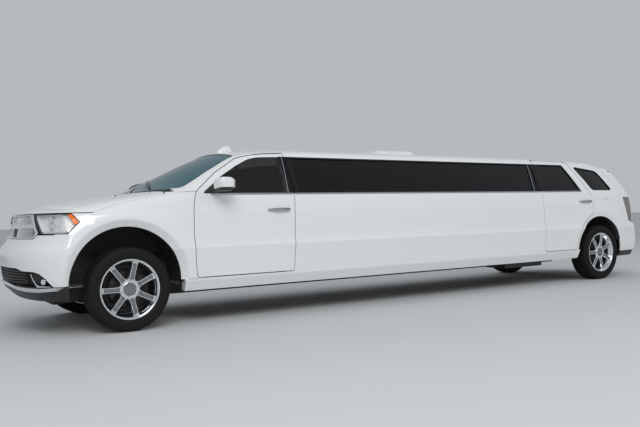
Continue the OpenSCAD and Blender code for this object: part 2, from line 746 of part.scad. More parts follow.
module knuckle_r() { color("gray") mirror([0, 1, 0]) translate([fa, 0, 0]) knuckle(); }
// Left-hand rim about the Y axis, outer face toward +Y.
module rim(bore) {
    rotate([-90, 0, 0]) difference() {
        union() {
            rotate_extrude($fn = 64) polygon([[rim_r - 34, -105], [rim_r, -115], [rim_r, -100], [rim_r - 16, -95],
                [rim_r - 16, 96], [rim_r, 100], [rim_r, 115], [rim_r - 26, 110], [rim_r - 26, -95]]);
            translate([0, 0, 40]) cylinder(r = 84, h = 54, $fn = 48);
            for (i = [0:6]) rotate(i * 360 / 7) translate([40, -30, 62]) cube([rim_r - 62, 60, 36]);
            translate([0, 0, -40]) cylinder(r = 165, h = 28, $fn = 48);
            translate([0, 0, -40]) cylinder(r = 70, h = 90, $fn = 48);
        }
        for (i = [0:6]) rotate(i * 360 / 7) translate([96, -20, 89]) cube([rim_r - 134, 40, 20]);
        translate([0, 0, -60]) cylinder(r = bore, h = 130, $fn = 48);
    }
}
module tyre() {
    half_w = tyre_w / 2;
    rotate([-90, 0, 0]) rotate_extrude($fn = 72) polygon([[rim_r - 15.7, -94], [rim_r + 0.4, -99.3],
        [rim_r + 0.4, -116], [rim_r + 30, -half_w], [tyre_r - 45, -half_w], [tyre_r - 12, -half_w + 14],
        [tyre_r, -half_w + 40], [tyre_r, half_w - 40], [tyre_r - 12, half_w - 14], [tyre_r - 45, half_w],
        [rim_r + 30, half_w], [rim_r + 0.4, 116], [rim_r + 0.4, 99.3], [rim_r - 15.7, 94]]);
}
module rim_fl() { color("silver") translate([fa, wheel_y, axle_z]) rim(28.4); }
module rim_fr() { color("silver") mirror([0, 1, 0]) translate([fa, wheel_y, axle_z]) rim(28.4); }
module rim_rl() { color("silver") translate([ra, wheel_y, axle_z]) rim(30.4); }
module rim_rr() { color("silver") mirror([0, 1, 0]) translate([ra, wheel_y, axle_z]) rim(30.4); }
module tyre_fl() { color("black") translate([fa, wheel_y, axle_z]) tyre(); }
module tyre_fr() { color("black") mirror([0, 1, 0]) translate([fa, wheel_y, axle_z]) tyre(); }
module tyre_rl() { color("black") translate([ra, wheel_y, axle_z]) tyre(); }
module tyre_rr() { color("black") mirror([0, 1, 0]) translate([ra, wheel_y, axle_z]) tyre(); }
module hood() {
    color("white") mesh() {
        intersection() {
            shell(skin, skin, 30);
            top_cut(1083, 1400) hood2();
        }
        both() difference() {
            intersection() {
                body(skin - 2, skin - 2, 30);
                translate([hood_axis[0] - 14, hood_y, hood_axis[1] - 10]) cube([28, 20, 60]);
            }
            translate([hood_axis[0], hood_y - 10, hood_axis[1]]) rotate([-90, 0, 0]) cylinder(r = 5.4, h = 60, $fn = 14);
        }
    }
}
module door_fl() { color("white") side_door(hinge_fx) { door_f2(); glass_f2(); } }
module door_fr() { color("white") mirror([0, 1, 0]) side_door(hinge_fx) { door_f2(); glass_f2(); } }
module door_rl() { color("white") side_door(hinge_rx) { door_r2(); glass_r2(); } }
module door_rr() { color("white") mirror([0, 1, 0]) side_door(hinge_rx) { door_r2(); glass_r2(); } }
module front_pane2() {
    difference() {
        offset(delta = -0.3) glass_f2();
        translate([fa - 876.3, 1200]) square([200, 200]);
    }
}
module glass_fl() { color("black") side_pane() front_pane2(); }
module glass_fr() { color("black") mirror([0, 1, 0]) side_pane() front_pane2(); }
module glass_rl() { color("black") side_pane() offset(delta = -0.3) glass_r2(); }
module glass_rr() { color("black") mirror([0, 1, 0]) side_pane() offset(delta = -0.3) glass_r2(); }
module handle(x, z) {
    mesh() difference() {
        translate([x, 0, z - 13]) linear_extrude(26) difference() {
            polygon([[-130, 908], [-124, 950], [-60, 966], [60, 966], [124, 950], [130, 908]]);
            polygon([[-92, 900], [-90, 940], [-50, 950], [50, 950], [90, 940], [92, 900]]);
        }
        body(-0.3);
    }
}
module handles_fl() { color("silver") handle(fa - 1540, 1078); }
module handles_fr() { color("silver") mirror([0, 1, 0]) handle(fa - 1540, 1078); }
module handles_rl() { color("silver") handle(ra + 320, 1107); }
module handles_rr() { color("silver") mirror([0, 1, 0]) handle(ra + 320, 1107); }
module mirror_head() {
    mesh() difference() {
        union() {
            intersection() {
                front_cut(fa - 930, fa - 770) offset(r = 36, $fn = 20)
                    polygon([[1006, 1284], [1112, 1290], [1114, 1354], [1010, 1350]]);
                top_cut(1230, 1410) polygon([[fa - 920, 960], [fa - 920, 1150], [fa - 900, 1152], [fa - 840, 1130],
                    [fa - 802, 1080], [fa - 790, 1010], [fa - 800, 960]]);
            }
            translate([fa - 868, 860, 1254]) cube([66, 150, 28]);
        }
        body(7.7, 7.7, 7.7);
    }
    side_pane() offset(delta = -0.3) sail2();
}
module mirror_l() { color("white") mirror_head(); }
module mirror_r() { color("white") mirror([0, 1, 0]) mirror_head(); }
module liftgate() {
    color("white") mesh() {
        difference() {
            intersection() {
                shell(wall, roof_t, 60);
                translate([tail - 50, -1200, 806]) cube([gate_x - gap - tail + 50, 2400, gate_axis[1] - 811]);
                union() {
                    front_cut(tail - 100, tail + 900) intersection() {
                        translate([-rebate, 0]) gate2();
                        translate([rebate, 0]) gate2();
                    }
                    difference() {
                        front_cut(tail - 100, tail + 900) gate2();
                        body(14, 14, 14);
                    }
                }
            }
            front_cut(tail - 100, tail + 900) gate_glass2();
            both() gate_room(9);
        }
        both() for (y = [gate_y - 21, gate_y + 9]) difference() {
            translate([gate_axis[0], y, gate_axis[1]]) rotate([-90, 0, 0]) union() {
                cylinder(r = 7, h = 12, $fn = 14);
                translate([-4, 0, 0]) cube([12, 28, 12]);
            }
            translate([gate_axis[0], y - 1, gate_axis[1]]) rotate([-90, 0, 0]) cylinder(r = 4.4, h = 14, $fn = 14);
        }
    }
}
module liftgate_glass() {
    color("black") mesh() intersection() {
        difference() {
            body(8, 0, 8);
            body(14, 0, 18);
        }
        front_cut(tail - 100, tail + 900) offset(delta = -0.3) gate_glass2();
    }
}

floor();
underframe();
engine();
exhaust();
drivetrain();
fuel_tank();
front_suspension();
wheel_liners();
fenders();
front_bumper();
front_valance();
bumper_strip();
grille();
lower_grille();
headlamps();
cowl();
windshield();
dashboard();
steering_wheel();
roof();
roof_vent();
body_sides();
sills();
side_glass();
hinges();
rear_bumper();
tail_lamps();
front_seats();
lounge_seats();
knuckle_l();
knuckle_r();
rim_fl();
rim_fr();
rim_rl();
rim_rr();
tyre_fl();
tyre_fr();
tyre_rl();
tyre_rr();
hood();
door_fl();
door_fr();
door_rl();
door_rr();
glass_fl();
glass_fr();
glass_rl();
glass_rr();
handles_fl();
handles_fr();
handles_rl();
handles_rr();
mirror_l();
mirror_r();
liftgate();
liftgate_glass();
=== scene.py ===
import json
import math

import bmesh
import bpy
import numpy as np
from mathutils import Matrix, Vector
from mathutils.bvhtree import BVHTree


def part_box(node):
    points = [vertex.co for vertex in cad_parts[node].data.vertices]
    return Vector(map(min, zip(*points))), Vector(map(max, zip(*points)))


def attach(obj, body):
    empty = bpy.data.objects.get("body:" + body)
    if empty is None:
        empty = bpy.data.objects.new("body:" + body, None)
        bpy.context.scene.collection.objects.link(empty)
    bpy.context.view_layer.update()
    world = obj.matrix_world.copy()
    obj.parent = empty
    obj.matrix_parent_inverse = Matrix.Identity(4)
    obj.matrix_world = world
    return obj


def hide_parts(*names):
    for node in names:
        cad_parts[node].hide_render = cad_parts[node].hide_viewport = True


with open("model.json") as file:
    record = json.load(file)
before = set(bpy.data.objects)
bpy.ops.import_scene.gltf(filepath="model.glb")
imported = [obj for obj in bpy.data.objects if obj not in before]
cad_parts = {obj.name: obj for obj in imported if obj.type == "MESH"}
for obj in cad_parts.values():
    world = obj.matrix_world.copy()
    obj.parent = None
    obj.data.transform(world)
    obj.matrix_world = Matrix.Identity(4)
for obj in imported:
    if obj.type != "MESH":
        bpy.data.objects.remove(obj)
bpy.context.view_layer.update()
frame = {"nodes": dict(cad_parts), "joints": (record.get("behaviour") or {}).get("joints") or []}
NODE = frame["nodes"]
JOINT = {j["name"]: j for j in frame["joints"]}

# Driving places in metres, from the frame: axles, nose and tail of the body.
FA, WHEEL_Y = JOINT["spin_fl"]["pos_m"][:2]
RA = JOINT["spin_rl"]["pos_m"][0]
TYRE_LOW, TYRE_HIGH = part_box("tyre_fl")
TYRE_R = (TYRE_HIGH.z - TYRE_LOW.z) / 2
TYRE_W = TYRE_HIGH.y - TYRE_LOW.y
FRONT_OVER, REAR_OVER = 0.930, 1.080
NOSE, TAIL = FA + FRONT_OVER, RA - REAR_OVER
LOW = 0.300
GAP = 0.007
SEAM = 0.0004
# Wheel arches: x and z of the centre, radius.
ARCH_F = (FA + 0.020, 0.440, 0.508)
ARCH_R = (RA + 0.010, 0.400, 0.492)
DOOR_SILL = 0.448


# Body surface: driving curves, each a list of knots (x, value) joined by a monotone cubic.
def knots(*pairs):
    return np.array(pairs, float)


WIDE = knots((TAIL, .895), (TAIL + .4, .932), (RA, .955), (RA + .7, .962), (FA - .85, .962), (FA, .958),
             (FA + .45, .952), (NOSE, .935))
BELT_Y = knots((TAIL, .835), (TAIL + .45, .872), (RA + .3, .902), (RA + 1.3, .908), (FA - .75, .908),
               (FA - .4, .9), (FA, .89), (FA + .45, .872), (NOSE, .84))
BELT_Z = knots((TAIL, 1.15), (TAIL + .45, 1.222), (RA + .3, 1.236), (RA + 1.3, 1.236), (FA - .75, 1.228),
               (FA - .4, 1.212), (FA, 1.172), (FA + .45, 1.118), (NOSE, 1.082))
RAIL_Y = knots((TAIL, .64), (TAIL + .45, .655), (RA + .3, .676), (RA + 1.3, .682), (FA - 1.5, .682),
               (FA - 1.2, .7), (FA - .88, .775), (FA - .52, .842), (FA - .37, .805), (FA, .77), (NOSE, .64))
RAIL_Z = knots((TAIL, 1.6), (TAIL + .45, 1.63), (RA, 1.662), (RA + .7, 1.678), (RA + 2.3, 1.686),
               (FA - 1.9, 1.684), (FA - 1.5, 1.668), (FA - 1.2, 1.62), (FA - .88, 1.466), (FA - .52, 1.284),
               (FA - .37, 1.258), (FA, 1.212), (FA + .45, 1.148), (NOSE, 1.104))
TOP_Z = knots((TAIL, 1.64), (TAIL + .45, 1.69), (RA, 1.722), (RA + .7, 1.742), (RA + 2.3, 1.757),
              (FA - 2.0, 1.757), (FA - 1.5, 1.742), (FA - 1.2, 1.704), (FA - 1.08, 1.664), (FA - .55, 1.423),
              (FA - .26, 1.288), (FA - .14, 1.264), (FA + .15, 1.228), (FA + .55, 1.172), (NOSE, 1.118))
CREASE_ON = knots((RA - .1, 0), (RA + .3, 1), (FA - .7, 1), (FA - .35, 0))
ROUND_B = knots((FA - .8, .026), (FA - .3, .075))
# Side profile from the sill (0) to the belt (1): tuck below the crease, lean above it, hollow over it.
CREASE, CREASE_TOP = 0.459, 0.504
TUCK = knots((0, .075), (.032, .045), (.15, .022), (.279, .014), (.386, .007), (CREASE, 0))
LEAN = knots((CREASE, 0), (.569, .17), (.676, .33), (.815, .55), (.912, .76), (1, 1))
HOLLOW = knots((CREASE, 0), (CREASE_TOP, .008), (.569, .01), (.676, .006), (.815, 0))
# Setback of the front and rear faces over height, and their bow in plan.
NOSE_DZ = knots((.3, .15), (.36, .095), (.41, .045), (.45, .025), (.52, .005), (.6, 0), (.7, .005),
                (.76, .025), (.82, .075), (.88, .105), (.96, .118), (1.04, .132), (1.075, .15),
                (1.095, .175), (1.12, .23))
TAIL_DZ = knots((.3, .12), (.42, .04), (.52, .005), (.6, 0), (.72, .01), (.77, .05), (.82, .085), (.95, .095),
                (1.1, .12), (1.2, .16), (1.254, .19), (1.4, .3), (1.6, .47), (1.64, .505), (1.69, .56))
NOSE_BOW, TAIL_BOW = 0.52, 0.32


def at(t, x):
    """Monotone cubic through the knots t at x, held level past the ends."""
    x = np.asarray(x, float)
    h = np.diff(t[:, 0])
    s = np.diff(t[:, 1]) / h
    a, b = s[:-1], s[1:]
    inner = np.where(a * b <= 0, 0, 2 * a * b / np.where(a + b == 0, 1, a + b))
    m = np.concatenate([[s[0]], inner, [s[-1]]])
    i = np.clip(np.searchsorted(t[:, 0], x, side="right") - 1, 0, len(h) - 1)
    u = np.clip((x - t[i, 0]) / h[i], 0, 1)
    v = 1 - u
    return (t[i, 1] * (1 + 2 * u) * v * v + m[i] * h[i] * u * v * v
            + t[i + 1, 1] * u * u * (3 - 2 * u) - m[i + 1] * h[i] * u * u * v)


def ease(v):
    u = np.clip(v, 0, 1)
    return u * u * (3 - 2 * u)


def side_point(x, s):
    y = (at(WIDE, x) - at(TUCK, s) - at(LEAN, s) * (at(WIDE, x) - at(BELT_Y, x))
         - at(CREASE_ON, x) * at(HOLLOW, s))
    return np.stack([y, LOW + s * (at(BELT_Z, x) - LOW)], -1)


def roof_point(x, y):
    z = at(RAIL_Z, x) + (at(TOP_Z, x) - at(RAIL_Z, x)) * (1 - (y / at(RAIL_Y, x)) ** 2)
    return np.stack([y, z], -1)


def bezier(a, b, c, n):
    u = np.linspace(0, 1, n)[:, None]
    return a * (1 - u) ** 2 + 2 * b * u * (1 - u) + c * u * u


def toward(a, b, d):
    return a + (b - a) * d / np.linalg.norm(b - a)


def half_section(x, rows):
    """Half of the section at station x, from the bottom middle over the left side to the top middle."""
    belt = np.array([at(BELT_Y, x), at(BELT_Z, x)])
    rail = np.array([at(RAIL_Y, x), at(RAIL_Z, x)])
    reach = np.linalg.norm(rail - belt) * 0.4
    rb = float(at(ROUND_B, x))
    top_s = 1 - rb / (belt[1] - LOW)
    s = np.concatenate([np.linspace(0, CREASE, rows["low"])[:-1],
                        np.linspace(CREASE, CREASE_TOP, rows["step"])[:-1],
                        np.linspace(CREASE_TOP, top_s, rows["high"])])
    b0 = side_point(x, np.array([top_s]))[0]
    b1 = toward(belt, rail, min(rb, reach))
    r0 = toward(rail, belt, min(0.060, reach))
    r1 = roof_point(x, rail[0] - 0.070)
    u = np.linspace(0, 1, rows["glass"] + 2)[1:-1, None]
    window = b1 + (r0 - b1) * u + 4 * u * (1 - u) * np.array([0.007, 0.003])
    crown = roof_point(x, r1[0] * np.linspace(1, 0, rows["roof"])[1:])
    return np.concatenate([[[0, LOW]], side_point(x, s), bezier(b0, belt, b1, rows["belt"])[1:], window,
                           bezier(r0, rail, r1, rows["rail"]), crown])


def bow(t, p):
    return 1 - np.maximum(0, 1 - np.minimum(1, t) ** p) ** (1 / p)


def warp(x, y, z):
    """Forward place of a point of station x: the ends are bowed in plan and set back over height."""
    t = np.abs(y) / at(WIDE, x)
    return (x - NOSE_BOW * bow(t, 2.5) * ease((x - FA + .25) / (FRONT_OVER + .25))
            - at(NOSE_DZ, z) * ease((x - FA - .48) / (FRONT_OVER - .48))
            + (TAIL_BOW * bow(t, 3) + at(TAIL_DZ, z)) * ease((RA - x + .06) / (REAR_OVER + .06)))


FINE = dict(low=46, step=6, high=40, belt=8, glass=8, rail=9, roof=14, columns=56)
COARSE = dict(low=12, step=3, high=10, belt=4, glass=3, rail=4, roof=6, columns=20)


def spread(*spans):
    """Stations over spans (start, end, step)."""
    parts = [np.linspace(a, b, max(2, round((b - a) / d) + 1))[:-1] for a, b, d in spans]
    return np.append(np.concatenate(parts), spans[-1][1])


FINE_X = spread((TAIL, RA - .62, .03), (RA - .62, RA + .62, .016), (RA + .62, FA - 1.9, .12),
                (FA - 1.9, FA - .62, .03), (FA - .62, FA + .62, .016), (FA + .62, NOSE, .02))
COARSE_X = spread((TAIL, RA, .09), (RA, FA - 1.9, .3), (FA - 1.9, FA, .09), (FA, NOSE, .06))


def body_grid(stations, rows, inset=(0, 0, 0)):
    """Points of the body surface as rows of closed loops: left side, nose, right side, tail."""
    halves = np.stack([half_section(x, rows) for x in stations], 1)
    x = np.broadcast_to(stations, halves.shape[:2])
    y, z = halves[..., 0], halves[..., 1]
    cols = np.sin(np.linspace(math.pi / 2, -math.pi / 2, rows["columns"] + 1))[1:-1]
    nose = [np.full((len(y), len(cols)), stations[-1]), y[:, -1:] * cols, np.repeat(z[:, -1:], len(cols), 1)]
    tail = [np.full((len(y), len(cols)), stations[0]), -y[:, :1] * cols, np.repeat(z[:, :1], len(cols), 1)]
    x = np.concatenate([x, nose[0], x[:, ::-1], tail[0]], 1)
    y = np.concatenate([y, nose[1], -y[:, ::-1], tail[1]], 1)
    z = np.concatenate([z, nose[2], z[:, ::-1], tail[2]], 1)
    side, top, end = inset
    px = ease((RA - x - .1) / .7) - ease((x - FA - .2) / .6)
    py = np.clip((1.72 - z) / .3 + .35, 0, 1)
    pz = np.where(np.abs(y) < .3, 1, np.clip((z - 1.06) / .15, 0, 1))
    moved = y - np.sign(y) * side * py * ease(np.abs(y) / .3)
    height = np.where(z <= LOW, LOW + side * .1, z - top * pz)
    return np.stack([warp(x, y, z) + end * px, moved, height], -1)


def grid_faces(rows, cols):
    j, k = np.meshgrid(np.arange(rows - 1), np.arange(cols), indexing="ij")
    n = (k + 1) % cols
    return np.stack([j * cols + k, (j + 1) * cols + k, (j + 1) * cols + n, j * cols + n], -1).reshape(-1, 4)


# Flares round the wheel arches: the side swells to a crest and then tucks in to the opening.
CREST = 0.066
FLARE_F, FLARE_R = (0.014, 0.030), (0.008, 0.006)


def flare(x, z, arch, sizes):
    """Outward offset of the side near an arch."""
    d = np.hypot(x - arch[0], z - arch[1]) - arch[2]
    crest, tuck = sizes
    out = crest * (1 - ease((d - CREST) / .22))
    offset = np.where(d < CREST, crest - (crest + tuck) * (CREST - d) / CREST, out)
    return np.where(d < -.05, 0, offset * ease((z - .36) / .10))


def add_flares(points):
    x, y, z = points[..., 0], points[..., 1], points[..., 2]
    on_side = ease((np.abs(y) - .70) / .12) * ease((1.12 - z) / .08)
    for arch, sizes in ((ARCH_F, FLARE_F), (ARCH_R, FLARE_R)):
        y = y + np.sign(y) * flare(x, z, arch, sizes) * on_side
    return np.stack([x, y, z], -1)


def grid_normals(points):
    along = np.roll(points, -1, 1) - np.roll(points, 1, 1)
    up = np.gradient(points, axis=0)
    n = np.cross(up, along)
    return n / np.maximum(np.linalg.norm(n, axis=-1, keepdims=True), 1e-12)


class Surface:
    """Outer skin of the body, with the means to find its true normal at any point."""

    def __init__(self):
        self.grid = add_flares(body_grid(FINE_X, FINE))
        rows, cols = self.grid.shape[:2]
        self.points = self.grid.reshape(-1, 3)
        self.faces = grid_faces(rows, cols)
        self.normals = grid_normals(self.grid).reshape(-1, 3)
        self.tris = np.concatenate([self.faces[:, [0, 1, 2]], self.faces[:, [0, 2, 3]]])
        self.tree = BVHTree.FromPolygons(self.points.tolist(), self.tris.tolist())

    def normals_at(self, points):
        """Normal of the skin nearest to each point, and the distance to it."""
        found = [self.tree.find_nearest(Vector(p)) for p in points]
        tri = self.tris[[f[2] for f in found]]
        near = np.array([f[0] for f in found])
        a, b, c = (self.points[tri[:, i]] for i in range(3))
        area = np.linalg.norm(np.cross(b - a, c - a), axis=1) + 1e-15
        w0 = np.linalg.norm(np.cross(b - near, c - near), axis=1) / area
        w1 = np.linalg.norm(np.cross(c - near, a - near), axis=1) / area
        w = np.stack([w0, w1, np.maximum(0, 1 - w0 - w1)], 1)
        n = (self.normals[tri] * w[:, :, None]).sum(1)
        length = np.maximum(np.linalg.norm(n, axis=1, keepdims=True), 1e-12)
        return n / length, np.array([f[3] for f in found])


SKIN = Surface()


# Meshes, prisms and cuts.
def new_object(name, mesh):
    obj = bpy.data.objects.new(name, mesh)
    bpy.context.scene.collection.objects.link(obj)
    return obj


def make_mesh(name, points, faces):
    mesh = bpy.data.meshes.new(name)
    mesh.from_pydata(np.asarray(points).tolist(), [], [list(f) for f in faces])
    mesh.update()
    return mesh


def tidy_mesh(mesh, merge=1e-5, recalc=False):
    bm = bmesh.new()
    bm.from_mesh(mesh)
    bmesh.ops.remove_doubles(bm, verts=bm.verts, dist=merge)
    bmesh.ops.dissolve_degenerate(bm, edges=bm.edges, dist=1e-7)
    if recalc:
        bmesh.ops.recalc_face_normals(bm, faces=bm.faces)
    bm.to_mesh(mesh)
    bm.free()
    return mesh


def grid_mesh(name, points, inner=None):
    """Closed mesh of a body grid, hollowed by an inner grid where one is given."""
    verts = points.reshape(-1, 3)
    faces = grid_faces(*points.shape[:2])
    if inner is not None:
        hollow = grid_faces(*inner.shape[:2])[:, ::-1] + len(verts)
        verts = np.concatenate([verts, inner.reshape(-1, 3)])
        faces = np.concatenate([faces, hollow])
    return tidy_mesh(make_mesh(name, verts, faces))


def prism(outline, axis, low, high):
    """Prism of a plane outline: (x, z) along y, (y, z) along x or (x, y) along z."""
    pts = np.asarray(outline, float)
    n = len(pts)
    place = "xyz".index(axis)
    ends = [np.insert(pts, place, v, axis=1) for v in (low, high)]
    sides = [(i, (i + 1) % n, n + (i + 1) % n, n + i) for i in range(n)]
    faces = [list(range(n)), list(range(2 * n - 1, n - 1, -1)), *sides]
    return new_object("tool", tidy_mesh(make_mesh("tool", np.concatenate(ends), faces), recalc=True))


def carve(mesh, keep=(), cut=()):
    """Mesh kept inside every keep tool and outside every cut tool. The tools are used up."""
    obj = new_object("blank", mesh)
    steps = [("INTERSECT", t) for t in keep] + [("DIFFERENCE", t) for t in cut]
    for operation, tool in steps:
        mod = obj.modifiers.new("cut", "BOOLEAN")
        mod.operation, mod.object, mod.solver = operation, tool, "MANIFOLD"
    done = bpy.data.meshes.new_from_object(obj.evaluated_get(bpy.context.evaluated_depsgraph_get()))
    if not done.polygons or (len(mesh.polygons) > 100 and len(done.polygons) == len(mesh.polygons)):
        raise ValueError("a cut left the mesh empty or as it was")
    for o in [obj] + [t for _, t in steps]:
        old = o.data
        bpy.data.objects.remove(o)
        bpy.data.meshes.remove(old)
    return done


def mirrored_mesh(mesh):
    other = mesh.copy()
    other.transform(Matrix.Scale(-1, 4, (0, 1, 0)))
    other.flip_normals()
    return other


def joined(name, meshes):
    bm = bmesh.new()
    for m in meshes:
        bm.from_mesh(m)
    mesh = bpy.data.meshes.new(name)
    bm.to_mesh(mesh)
    bm.free()
    return mesh


def shade_by_skin(mesh):
    """Smooth normals of the true body surface on the panel's faces, flat ones on its cut edges."""
    co = np.empty(len(mesh.vertices) * 3)
    mesh.vertices.foreach_get("co", co)
    skin, _ = SKIN.normals_at(co.reshape(-1, 3))
    corner = np.empty(len(mesh.loops), int)
    mesh.loops.foreach_get("vertex_index", corner)
    flat = np.empty(len(mesh.polygons) * 3)
    mesh.polygons.foreach_get("normal", flat)
    count = np.empty(len(mesh.polygons), int)
    mesh.polygons.foreach_get("loop_total", count)
    flat = np.repeat(flat.reshape(-1, 3), count, 0)
    true = skin[corner]
    facing = (flat * true).sum(1)[:, None]
    mesh.polygons.foreach_set("use_smooth", np.ones(len(mesh.polygons), bool))
    mesh.normals_split_custom_set(np.where(facing > .8, true, np.where(facing < -.8, -true, flat)).tolist())
    return mesh


# Plane outlines.
def grown(outline, d):
    """Outline moved outward by d, with mitred corners."""
    p = np.asarray(outline, float)
    nxt, prv = np.roll(p, -1, 0), np.roll(p, 1, 0)
    turn = np.sign((p[:, 0] * nxt[:, 1] - nxt[:, 0] * p[:, 1]).sum())

    def outward(a, b):
        e = b - a
        n = np.stack([e[:, 1], -e[:, 0]], -1) * turn
        return n / np.linalg.norm(n, axis=1, keepdims=True)

    a, b = outward(prv, p), outward(p, nxt)
    m = a + b
    return p + m * d * 2 / np.maximum((m * m).sum(1, keepdims=True), 0.5)


def rounded(outline, radius, steps=7):
    """Outline with its corners rounded, by one radius or one for each corner."""
    p = np.asarray(outline, float)
    radii = np.broadcast_to(radius, len(p))
    out = []
    for i, r in enumerate(radii):
        a, b, c = p[i - 1], p[i], p[(i + 1) % len(p)]
        u, v = a - b, c - b
        lu, lv = np.linalg.norm(u), np.linalg.norm(v)
        angle = math.acos(np.clip(np.dot(u, v) / lu / lv, -1, 1))
        cut = min(r / max(math.tan(angle / 2), 1e-3), lu * .48, lv * .48)
        if r <= 0 or cut < 1e-4:
            out.append(b)
        else:
            out.extend(bezier(b + u / lu * cut, b, b + v / lv * cut, steps))
    return np.array(out)


def circle(arch, grow=0, steps=128):
    t = np.linspace(0, 2 * math.pi, steps, endpoint=False)
    r = arch[2] + grow
    return np.column_stack([arch[0] + r * np.cos(t), arch[1] + r * np.sin(t)])


def both_halves(half):
    """Closed outline (x, y) from its half at y >= 0, which runs from the middle to the middle."""
    p = np.asarray(half, float)
    return np.concatenate([p, [(x, -y) for x, y in p[::-1] if y != 0]])


def roof_line(drop):
    """Outline below the seam between the roof and the sides."""
    x = spread((TAIL, RA, .06), (RA, FA - 1.5, .2), (FA - 1.5, FA - .52, .07))
    z = at(RAIL_Z, x) - .002 - drop
    top = np.column_stack([warp(x, at(RAIL_Y, x), at(RAIL_Z, x)), z])
    return np.concatenate([[(TAIL - .05, z[0])], top,
                           [(FA - .46, 1.258 - drop), (FA - .46, .1), (TAIL - .05, .1)]])


DOOR_F = rounded([(FA - .638, DOOR_SILL), (FA - .624, .6), (FA - .62, .88), (FA - .628, 1.1),
                  (FA - .655, 1.25), (FA - .915, 1.453), (FA - 1.169, 1.599), (FA - 1.3, 1.644),
                  (FA - 1.425, 1.7), (FA - 1.728, 1.7), (FA - 1.737, 1.236), (FA - 1.697, DOOR_SILL)],
                  [.03, .2, .2, .2, .16, .5, .4, .3, .3, 0, .3, .03])
SWING = ARCH_R[2] + .06
DOOR_R = rounded([(RA + 1.189, DOOR_SILL), (RA + 1.189, 1.236), (RA + 1.135, 1.7), (RA + .44, 1.7),
                  (RA + .21, 1.25), (RA + .16, 1.18), (RA + .16, 1.0)]
                 + [(ARCH_R[0] + SWING * math.cos(math.radians(a)),
                     ARCH_R[1] + SWING * math.sin(math.radians(a)))
                    for a in (74, 67, 60, 52, 45, 37, 30, 22, 15, 10, 5)],
                 [.03, .3, 0, 0, .2, .2, .05] + [0] * 11)
GLASS_F = rounded([(FA - .735, 1.246), (FA - .957, 1.409), (FA - 1.15, 1.52), (FA - 1.313, 1.597),
                   (FA - 1.428, 1.617), (FA - 1.65, 1.624), (FA - 1.69, 1.246)],
                   [.01, .6, .6, .3, .3, .015, .015])
GLASS_R = rounded([(RA + 1.105, 1.25), (RA + 1.06, 1.612), (RA + .545, 1.612), (RA + .375, 1.255)],
                  [.01, .01, .03, .03])
GLASS_LONG = rounded([(FA - 1.785, 1.246), (FA - 1.785, 1.622), (RA + 1.27, 1.612), (RA + 1.345, 1.25)], .01)
GLASS_POST = rounded([(RA + 1.322, 1.25), (RA + 1.247, 1.612), (RA + 1.19, 1.611), (RA + 1.23, 1.25)], .006)
GLASS_Q = rounded([(RA + .318, 1.598), (RA - .183, 1.54), (RA - .372, 1.264), (RA + .11, 1.262)],
                  [.03, .14, .03, .08])
LAMP_SIDE = [(FA + .415, 1.0), (FA + .475, 1.076), (FA + .99, 1.076), (FA + .99, .897), (FA + .526, .897)]
BUMPER_SIDE = [(FA + .4, .3), (FA + .42, .56), (FA + .47, .72), (FA + .532, .89), (NOSE + .06, .89),
               (NOSE + .06, .25), (FA + .4, .25)]
REAR_SIDE = [(RA - .44, .38), (RA - .47, .62), (RA - .52, .78), (TAIL - .06, .796), (TAIL - .06, .38)]
TAIL_SIDE = [(RA - .625, 1.16), (RA - .712, .808), (TAIL - .06, .808), (TAIL - .06, 1.16)]
GRILLE = rounded([(-.53, 1.076), (.53, 1.076), (.662, .9), (.6, .858), (-.6, .858), (-.662, .9)],
                 [.05, .05, .05, .03, .03, .05])
GRILLE_IN = rounded([(-.512, 1.062), (.512, 1.062), (.628, .902), (.588, .871), (-.588, .871), (-.628, .902)],
                    [.05, .05, .04, .03, .03, .04])
LAMP = [(.546, 1.076), (.682, .897), (1.0, .897), (1.0, 1.09), (.546, 1.09)]
MOUTH = [(y, z) for z, y in both_halves([(.606, 0), (.606, .5), (.598, .54), (.584, .6), (.579, .74),
                                         (.564, .79), (.52, .838), (.45, .872), (.40, .86), (.40, 0)])]
LIP = [(y, z) for z, y in both_halves([(.474, 0), (.472, .15), (.461, .28), (.443, .48), (.436, .62),
                                       (.433, .78), (.441, .90), (.409, .862), (.397, .74), (.398, .6),
                                       (.408, .45), (.423, .25), (.434, 0)])]
GATE = [(-.63, 1.8), (.63, 1.8), (.7, 1.25), (.69, .802), (-.69, .802), (-.7, 1.25)]
GATE_GLASS = rounded([(-.545, 1.575), (.545, 1.575), (.625, 1.262), (-.625, 1.262)], .04)
SCREEN = rounded(both_halves([(FA - 1.16, 0), (FA - 1.172, .3), (FA - 1.205, .625), (FA - .88, .715),
                              (FA - .53, .806), (FA - .44, .7), (FA - .33, .48), (FA - .25, .25),
                              (FA - .215, 0)]), [.8, .8, .06, .8, .08, .4, .4, .4, .8, .4, .4, .4, .08, .8,
                                                 .06, .8])
HOOD = rounded(both_halves([(FA - .135, 0), (FA - .17, .25), (FA - .26, .5), (FA - .385, .79),
                            (FA - .35, .826), (FA - .25, .85), (FA + .15, .862), (FA + .44, .88),
                            (FA + .52, .905), (NOSE + .05, .905)]),
                            [.8, .8, .6, .05, .05, .3, .8, .1, .05, 0, 0, .05, .1, .8, .3, .05, .05, .6, .8])
GATE_X = TAIL + .53
GATE_Z = JOINT["liftgate_hinge"]["pos_m"][2]
# The inner panels of the doors and liftgate stop this far inside the edge of the outer skin.
REBATE = .018


def left(outline, low=.3):
    return prism(outline, "y", low, 1.2)


def across(outline):
    return prism(outline, "y", -1.2, 1.2)


def front(outline):
    return prism(outline, "x", FA, NOSE + .1)


def rear(outline, reach=.9):
    return prism(outline, "x", TAIL - .1, TAIL + reach)


def above(outline, low=1.0, high=1.9):
    return prism(outline, "z", low, high)


